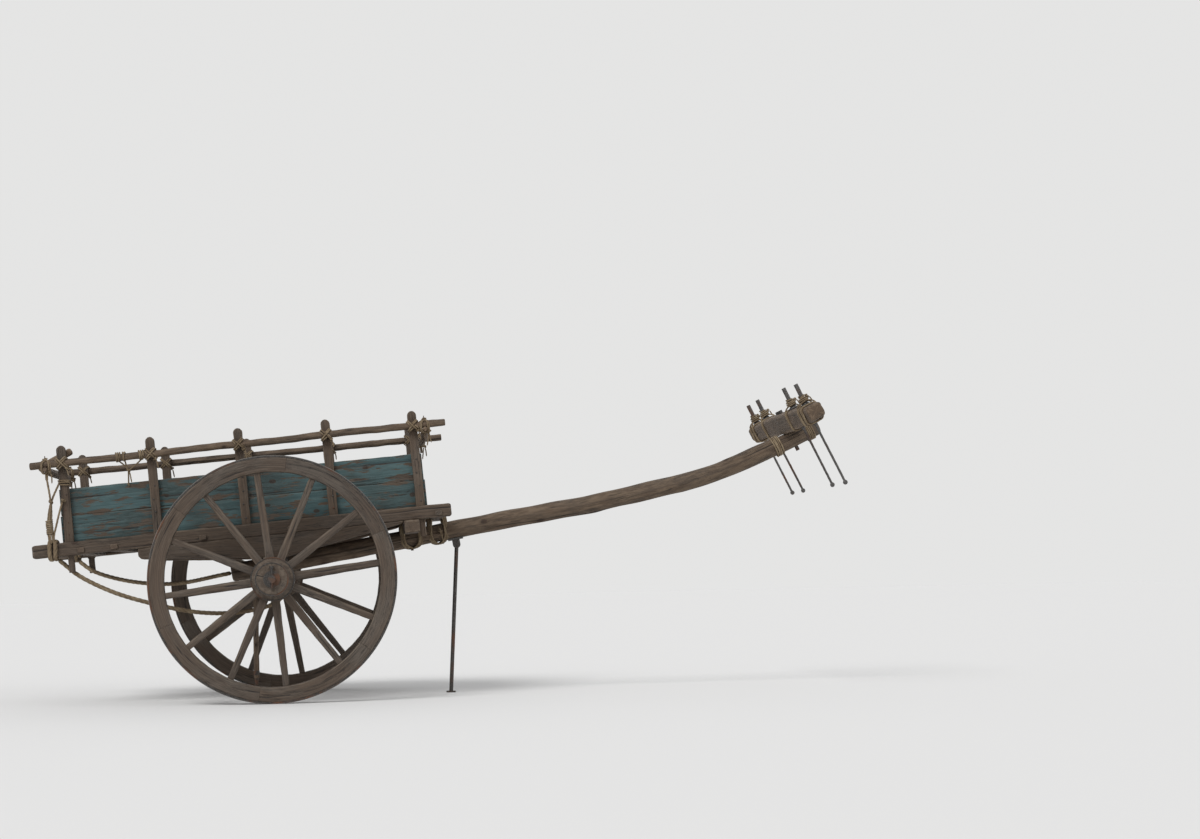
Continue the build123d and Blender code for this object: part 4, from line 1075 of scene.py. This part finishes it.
parts = []
for side in sides.values():
    for reach in pins["at"]:
        y = side * reach
        ends = (yoke["low"] - pins["below"] - pins["knob"], pinSeat(y) + pins["above"] - 0.0005)
        parts.append(upright(onYoke, 0, y, ends, pins["shank"], pins, 305 + side + int(10 * reach),
                             shape=pinShape(y)))
build("yokePins", parts, wornIron, "yoke", ["yoke_pins"])

# hill stick with an iron shoe, which tapers to its foot and has a rim on top

stick = {"length": 0.56, "radius": 0.014, "above": 0.014, "inShoe": 0.03, "step": 0.008, "edge": 0.014,
         "flat": 0, "corner": 5, "cut": 0.008, "bend": 0.002, "relief": 0.0008, "splits": 2,
         "splitDepth": 0.002, "pith": 0.005, "knots": 2, "knotSize": 0.006, "knotSwell": 0.0015}
shoe = {"from": 0, "length": 0.07,
        "profile": ((0, 0.0055), (0.050, 0.0142), (0.0501, 0.0152), (0.07, 0.0152)),
        "cut": 0.001, "bend": 0, "relief": 0.0002, "splits": 0, "knots": 0}
atHinge = slope(joints["hill_stick_swing"]["pos_m"], 0)
part = upright(atHinge, 0, 0, (-stick["length"] + stick["inShoe"], stick["above"]), stick["radius"], stick,
               310)
build("hillStick", [part], poleWood, "hill_stick", ["hill_stick"])
part = upright(atHinge, 0, 0, (-stick["length"], -stick["length"] + shoe["length"]), stick["radius"],
               stick | shoe, 311, shape=turnedTo(shoe))
build("stickShoe", [part], forgedIron, "hill_stick")
print("yoke and hill stick made")

# lashings: square turns of thin rope where sticks cross, and short knots

cordage = {"thin": 0.004, "around": 10, "lay": 12, "step": 0.004}


def strand(line, seed, radius=cordage["thin"]):
    # one thin rope along a line
    return laidRope(line, radius, cordage | {"seed": seed})


def winding(place, centre, outs, look, seed, other=0, radius=cordage["thin"]):
    # a thin rope in turns, whose wander may have another seed than its twist
    return strand(turns(place, centre, outs, look, seed + other), seed, radius)


def curveThrough(points, sag=0.0, count=24):
    # a smooth line through a few places (Catmull-Rom), sagging a little in its middle
    p = np.array([points[0], *points, points[-1]], float)
    t = np.linspace(0, 1, count, endpoint=False)[:, None]
    runs = [0.5 * (2 * b + (c - a) * t + (2 * a - 5 * b + 4 * c - d) * t ** 2
                   + (3 * b - a - 3 * c + d) * t ** 3)
            for a, b, c, d in zip(p, p[1:], p[2:], p[3:])]
    line = np.concatenate(runs + [p[-1:]])
    share = np.linspace(0, 1, len(line))
    line[:, 2] -= sag * np.sin(np.pi * share)
    return line


def crossLashing(place, centre, deep, across, look, seed):
    # turns along both diagonals of a crossing; deep points from one stick to the other
    look = plainTurns | look
    parts = []
    for k, lean in enumerate((1, -1)):
        wide = (np.array(toFront, float) + lean * np.array(across, float)) / np.sqrt(2)
        axis = np.cross(wide, deep)
        middle = np.array(centre) + axis * look["apart"] * (1 if k else -1)
        halves = [np.multiply(half, 1 + 0.04 * k) for half in look["halves"]]
        parts.append(winding(place, middle, (axis, deep, wide), look | {"halves": halves}, seed + k))
    return parts


def knotted(place, centre, size, seed, radius=cordage["thin"]):
    # a trefoil: one strand that passes over and under itself three times
    t = np.linspace(0, 2 * np.pi, 60)
    line = np.stack([np.sin(t) + 2 * np.sin(2 * t), np.cos(t) - 2 * np.cos(2 * t),
                     -1.3 * np.sin(3 * t)], 1) / 3
    spin = np.random.default_rng(seed).uniform(0, 3)
    c, s = np.cos(spin), np.sin(spin)
    line = line @ np.array([[c, 0, s], [0, 1, 0], [-s, 0, c]])
    return strand(put(place, np.array(centre) + line * size), seed, radius)


def cutEnd(place, start, lean, length, seed):
    # the cut end of a knot hangs down a few centimetres
    rng = np.random.default_rng(seed)
    start, reach = np.array(start), np.array(lean, float) * length
    wander = rng.normal(0, 0.003, 3)
    stops = [start, start + reach * 0.4 + (0, 0, -0.25 * length) + wander,
             start + reach * 0.6 + (0, 0, -length)]
    return strand(put(place, curveThrough(stops, 0, 12)), seed, 0.0034)


railTies = {"out": 0.4477, "halves": (0.0367, 0.034), "count": 2, "power": 3.0,
            "knot": (0.024, 0.474, -0.027), "end": (0.026, 0.476, -0.032), "endLength": 0.035,
            "endLonger": 0.01}
barTies = {"up": -0.0095, "halves": (0.0315, 0.0265), "count": 2, "power": 2.6, "apart": 0.002,
           "knot": (0.019, 0.016, -0.038),
           "ends": (((0.019, 0.018, -0.045), 0.2, 0.050), ((0.014, 0.020, -0.043), -0.3, 0.066))}
pegTies = {"up": 0.006, "halves": (0.0102, 0.0102), "count": 2.4, "pitch": 0.0076, "power": 2.0,
           "radius": 0.0036}
for name, side in sides.items():
    parts, outwards = [], np.array([1, side, 1])
    for i, u in enumerate(stakeAt):
        seed = 400 + 10 * i + side
        at = np.array([u, 0, rails["up"] + railRise(name, u)])
        parts += crossLashing(onBed, at + (0, side * railTies["out"], 0), (0, side, 0), toTop, railTies, seed)
        parts.append(knotted(onBed, at + outwards * railTies["knot"], 0.010, seed, 0.0036))
        parts.append(cutEnd(onBed, at + outwards * railTies["end"], (0.3, 0, 0),
                            railTies["endLength"] + railTies["endLonger"] * (i % 3), seed))
    build("railLashings." + name, parts, coirRope, "cart")
    parts = []
    for i, u in enumerate(bars["at"]):
        seed = 470 + 10 * i + side
        at = np.array([u, side * rails["out"], rails["up"] + railRise(name, u)])
        parts += crossLashing(onBed, at + (0, 0, barTies["up"]), toTop, toLeft, barTies, seed)
        parts.append(winding(onBed, at + (0, 0, rails["radius"] + pegTies["up"]), (toTop, toFront, toLeft),
                             pegTies, seed + 5, radius=pegTies["radius"]))
        parts.append(knotted(onBed, at + outwards * barTies["knot"], 0.010, seed, 0.0038))
        for k, (end, lean, length) in enumerate(barTies["ends"]):
            parts.append(cutEnd(onBed, at + outwards * end, (lean, 0, 0), length, seed + 1 + k))
    build("barLashings." + name, parts, coirRope, "cart")
print("rails lashed")

# thick ties round the beams' tails, where the bed ropes begin

beamTies = {"at": -1.066, "halves": (0.0485, 0.0425), "count": 2.1, "pitch": 0.0215, "power": 6.0,
            "tuck": 0.0, "radius": 0.0106, "around": 18, "step": 0.005, "lay": 7.5}
parts = []
for side in sides.values():
    line = turns(onBed, (beamTies["at"], side * beams["out"], beams["half"][1]),
                 (toFront, (0, -side, 0), (0, 0, -1)), beamTies, 520 + side)
    parts.append(laidRope(line, beamTies["radius"], beamTies | {"seed": 521 + side}))
build("beamTies", parts, coirRope, "cart", ["rope_ties"])

# ropes from the rear bar and the first stake down to the tie, on the near side, bound together below

rear = {"radius": 0.0052, "around": 10, "lay": 12, "step": 0.0052 * 0.9, "lines": (
    ((-1.067, -0.474, 0.408), (-1.056, -0.478, 0.268), (-1.067, -0.480, 0.190), (-1.073, -0.482, 0.110),
     (-1.068, -0.484, 0.062)),
    ((-1.009, -0.452, 0.357), (-1.050, -0.468, 0.275), (-1.058, -0.474, 0.205), (-1.064, -0.480, 0.135),
     (-1.058, -0.484, 0.062)),
    ((-1.002, -0.450, 0.268), (-1.020, -0.460, 0.216), (-1.042, -0.468, 0.146), (-1.054, -0.476, 0.105),
     (-1.058, -0.484, 0.062)),
    ((-1.056, -0.478, 0.262), (-1.072, -0.472, 0.205), (-1.081, -0.474, 0.140), (-1.077, -0.484, 0.062))),
    "binding": {"at": (-1.0715, -0.4775, 0.146), "halves": (0.0145, 0.0115), "count": 8.4, "power": 2.4,
                "tuck": 0.1},
    "knots": (((-1.055, -0.479, 0.268), 0.011), ((-0.998, -0.452, 0.270), 0.010)),
    "onStake": {"at": (-0.989, -0.430, 0.357), "halves": (0.019, 0.026), "count": 3, "pitch": 0.0092,
                "power": 4.5}}
binding, onStake = rear["binding"], rear["onStake"]
parts = [laidRope(put(onBed, curveThrough(line)), rear["radius"], rear | {"seed": 530 + i})
         for i, line in enumerate(rear["lines"])]
parts.append(winding(onBed, binding["at"], (toTop, toFront, toLeft), binding, 540))
parts += [knotted(onBed, at, size, 541 + k, 0.0045) for k, (at, size) in enumerate(rear["knots"])]
parts.append(winding(onBed, onStake["at"], (toTop, toLeft, toFront), onStake, 543))
build("rearRopes", parts, coirRope, "cart")

# a forked tie from the near rail to the top board

fork = {"at": (-0.716, -0.687, -0.605), "turns": (2.6, 1.4, 2.6), "halves": (0.0218, 0.0218),
        "pitch": 0.0092, "power": 2.0, "tuck": 0.0, "join": (-0.681, -0.452, 0.404),
        "knot": (-0.674, -0.447, 0.385), "bend": (-0.678, -0.432, 0.352), "foot": (-0.682, -0.419, 0.318)}
parts = []
for i, (x, count) in enumerate(zip(fork["at"], fork["turns"])):
    at = np.array([x, -rails["out"], rails["up"] + railRise("right", x)])
    parts.append(winding(onBed, at, (toFront, toLeft, toTop), fork | {"count": count}, 550 + i))
    way = [at + (0.002, 0.010, -0.018), fork["join"], fork["knot"]]
    parts.append(strand(put(onBed, curveThrough(way if i < 2 else way[::2], 0.003)), 553 + i))
parts += [knotted(onBed, fork["knot"], 0.009, 556, 0.0038),
          cutEnd(onBed, np.array(fork["knot"]) + (0.004, -0.002, -0.006), (0.2, 0, 0), 0.056, 559),
          strand(put(onBed, curveThrough([fork["knot"], fork["bend"], fork["foot"]])), 557),
          knotted(onBed, fork["foot"], 0.007, 558, 0.0034)]
build("forkedTie", parts, coirRope, "cart")

# pole: tied to its bearer, a cross bearer and the axle bed, and bound on both sides of the yoke

frontBearer = bearers["at"][-1]
poleTies = ((onBed, (poleBearer["at"], 0, -0.0645), {"halves": (0.0685, (0.060, 0.068)), "power": (5, 2.2)}),
            (onBed, (frontBearer, 0, -0.038), {"halves": (0.086, (0.046, 0.067)), "power": (5, 2.2)}),
            (onAxle, (0, 0, 0.050), {"halves": (0.077, (0.068, 0.082)), "power": (2.4, 6)}))
noseTies = {"off": (-0.092, 0.092), "halves": (0.0505, 0.0505), "count": 5.2, "pitch": 0.0088, "power": 2.0}
parts = []
for k, (place, centre, look) in enumerate(poleTies):
    parts += crossLashing(place, centre, toTop, toLeft, look | {"count": 4}, 560 + 2 * k)
parts += [knotted(onBed, (frontBearer + 0.012, -0.054, -0.062), 0.013, 568, 0.0042),
          cutEnd(onBed, (frontBearer + 0.015, -0.056, -0.072), (0.25, 0, 0), 0.060, 569)]
for k, off in enumerate(noseTies["off"]):
    centre, up = poleLine(np.array([yokeOnPole + off]))
    ahead = np.array([up[0][2], 0, -up[0][0]])
    parts.append(winding(onPole, centre[0], (ahead, toLeft, up[0]), noseTies, 570 + k))
build("poleLashings", parts, coirRope, "cart")

# yoke: turns of rope beside the pins keep the beam from splitting, and run up round the foot of each pin

yokeTies = {"at": (0.352, 0.666, 0.748), "pin": (0, 1, 1), "over": 0.004, "count": 4.3, "pitch": 0.0088,
            "power": 5.0, "climb": ((0.046, -0.004, -0.050), (0.040, -0.008, -0.012), (0.020, 0.018, 0.006),
                                    (-0.004, 0.016, 0.012))}
footTies = ({"halves": (0.0155, 0.0155), "rise": 0.022, "count": 4.6, "power": 2.0, "tuck": 0.1},
            {"halves": (0.0225, 0.0225), "rise": 0.014, "count": 2.5, "power": 2.0, "tuck": 0.1})
parts = []
for side in sides.values():
    for k, reach in enumerate(yokeTies["at"]):
        y, pin = side * reach, side * pins["at"][yokeTies["pin"][k]]
        low, top = yokeFaces(reach)
        halves = (yoke["half"] + yokeTies["over"], (top - low) / 2 + yokeTies["over"])
        parts.append(winding(onYoke, (0, y, (top + low) / 2), (toLeft, toFront, toTop),
                             yokeTies | {"halves": halves}, 580 + k, side))
        inward = np.sign(y - pin)
        foot = pinSeat(pin) + pins["collarHigh"]
        for way in (-1, 1):
            climb = [(way * x, start + inward * aside, foot + rise)
                     for start, (x, aside, rise) in zip((y, y, pin, pin), yokeTies["climb"])]
            parts.append(strand(put(onYoke, curveThrough(climb)), 586 + k))
    for k, reach in enumerate(pins["at"]):
        y = side * reach
        foot = pinSeat(y) + pins["collarHigh"]
        for tie in footTies:
            parts.append(winding(onYoke, (0, y, foot + tie["rise"]), (toTop, toFront, toLeft), tie, 590 + k,
                                 side))
        parts.append(knotted(onYoke, (0.025, y, foot + 0.026), 0.010, 594 + k))
        parts.append(cutEnd(onYoke, (0.030, y, foot + 0.022), (0.5, 0.2 * side, 0), 0.030, 596 + k))
build("yokeBindings", parts, coirRope, "yoke")
print("ropes tied")
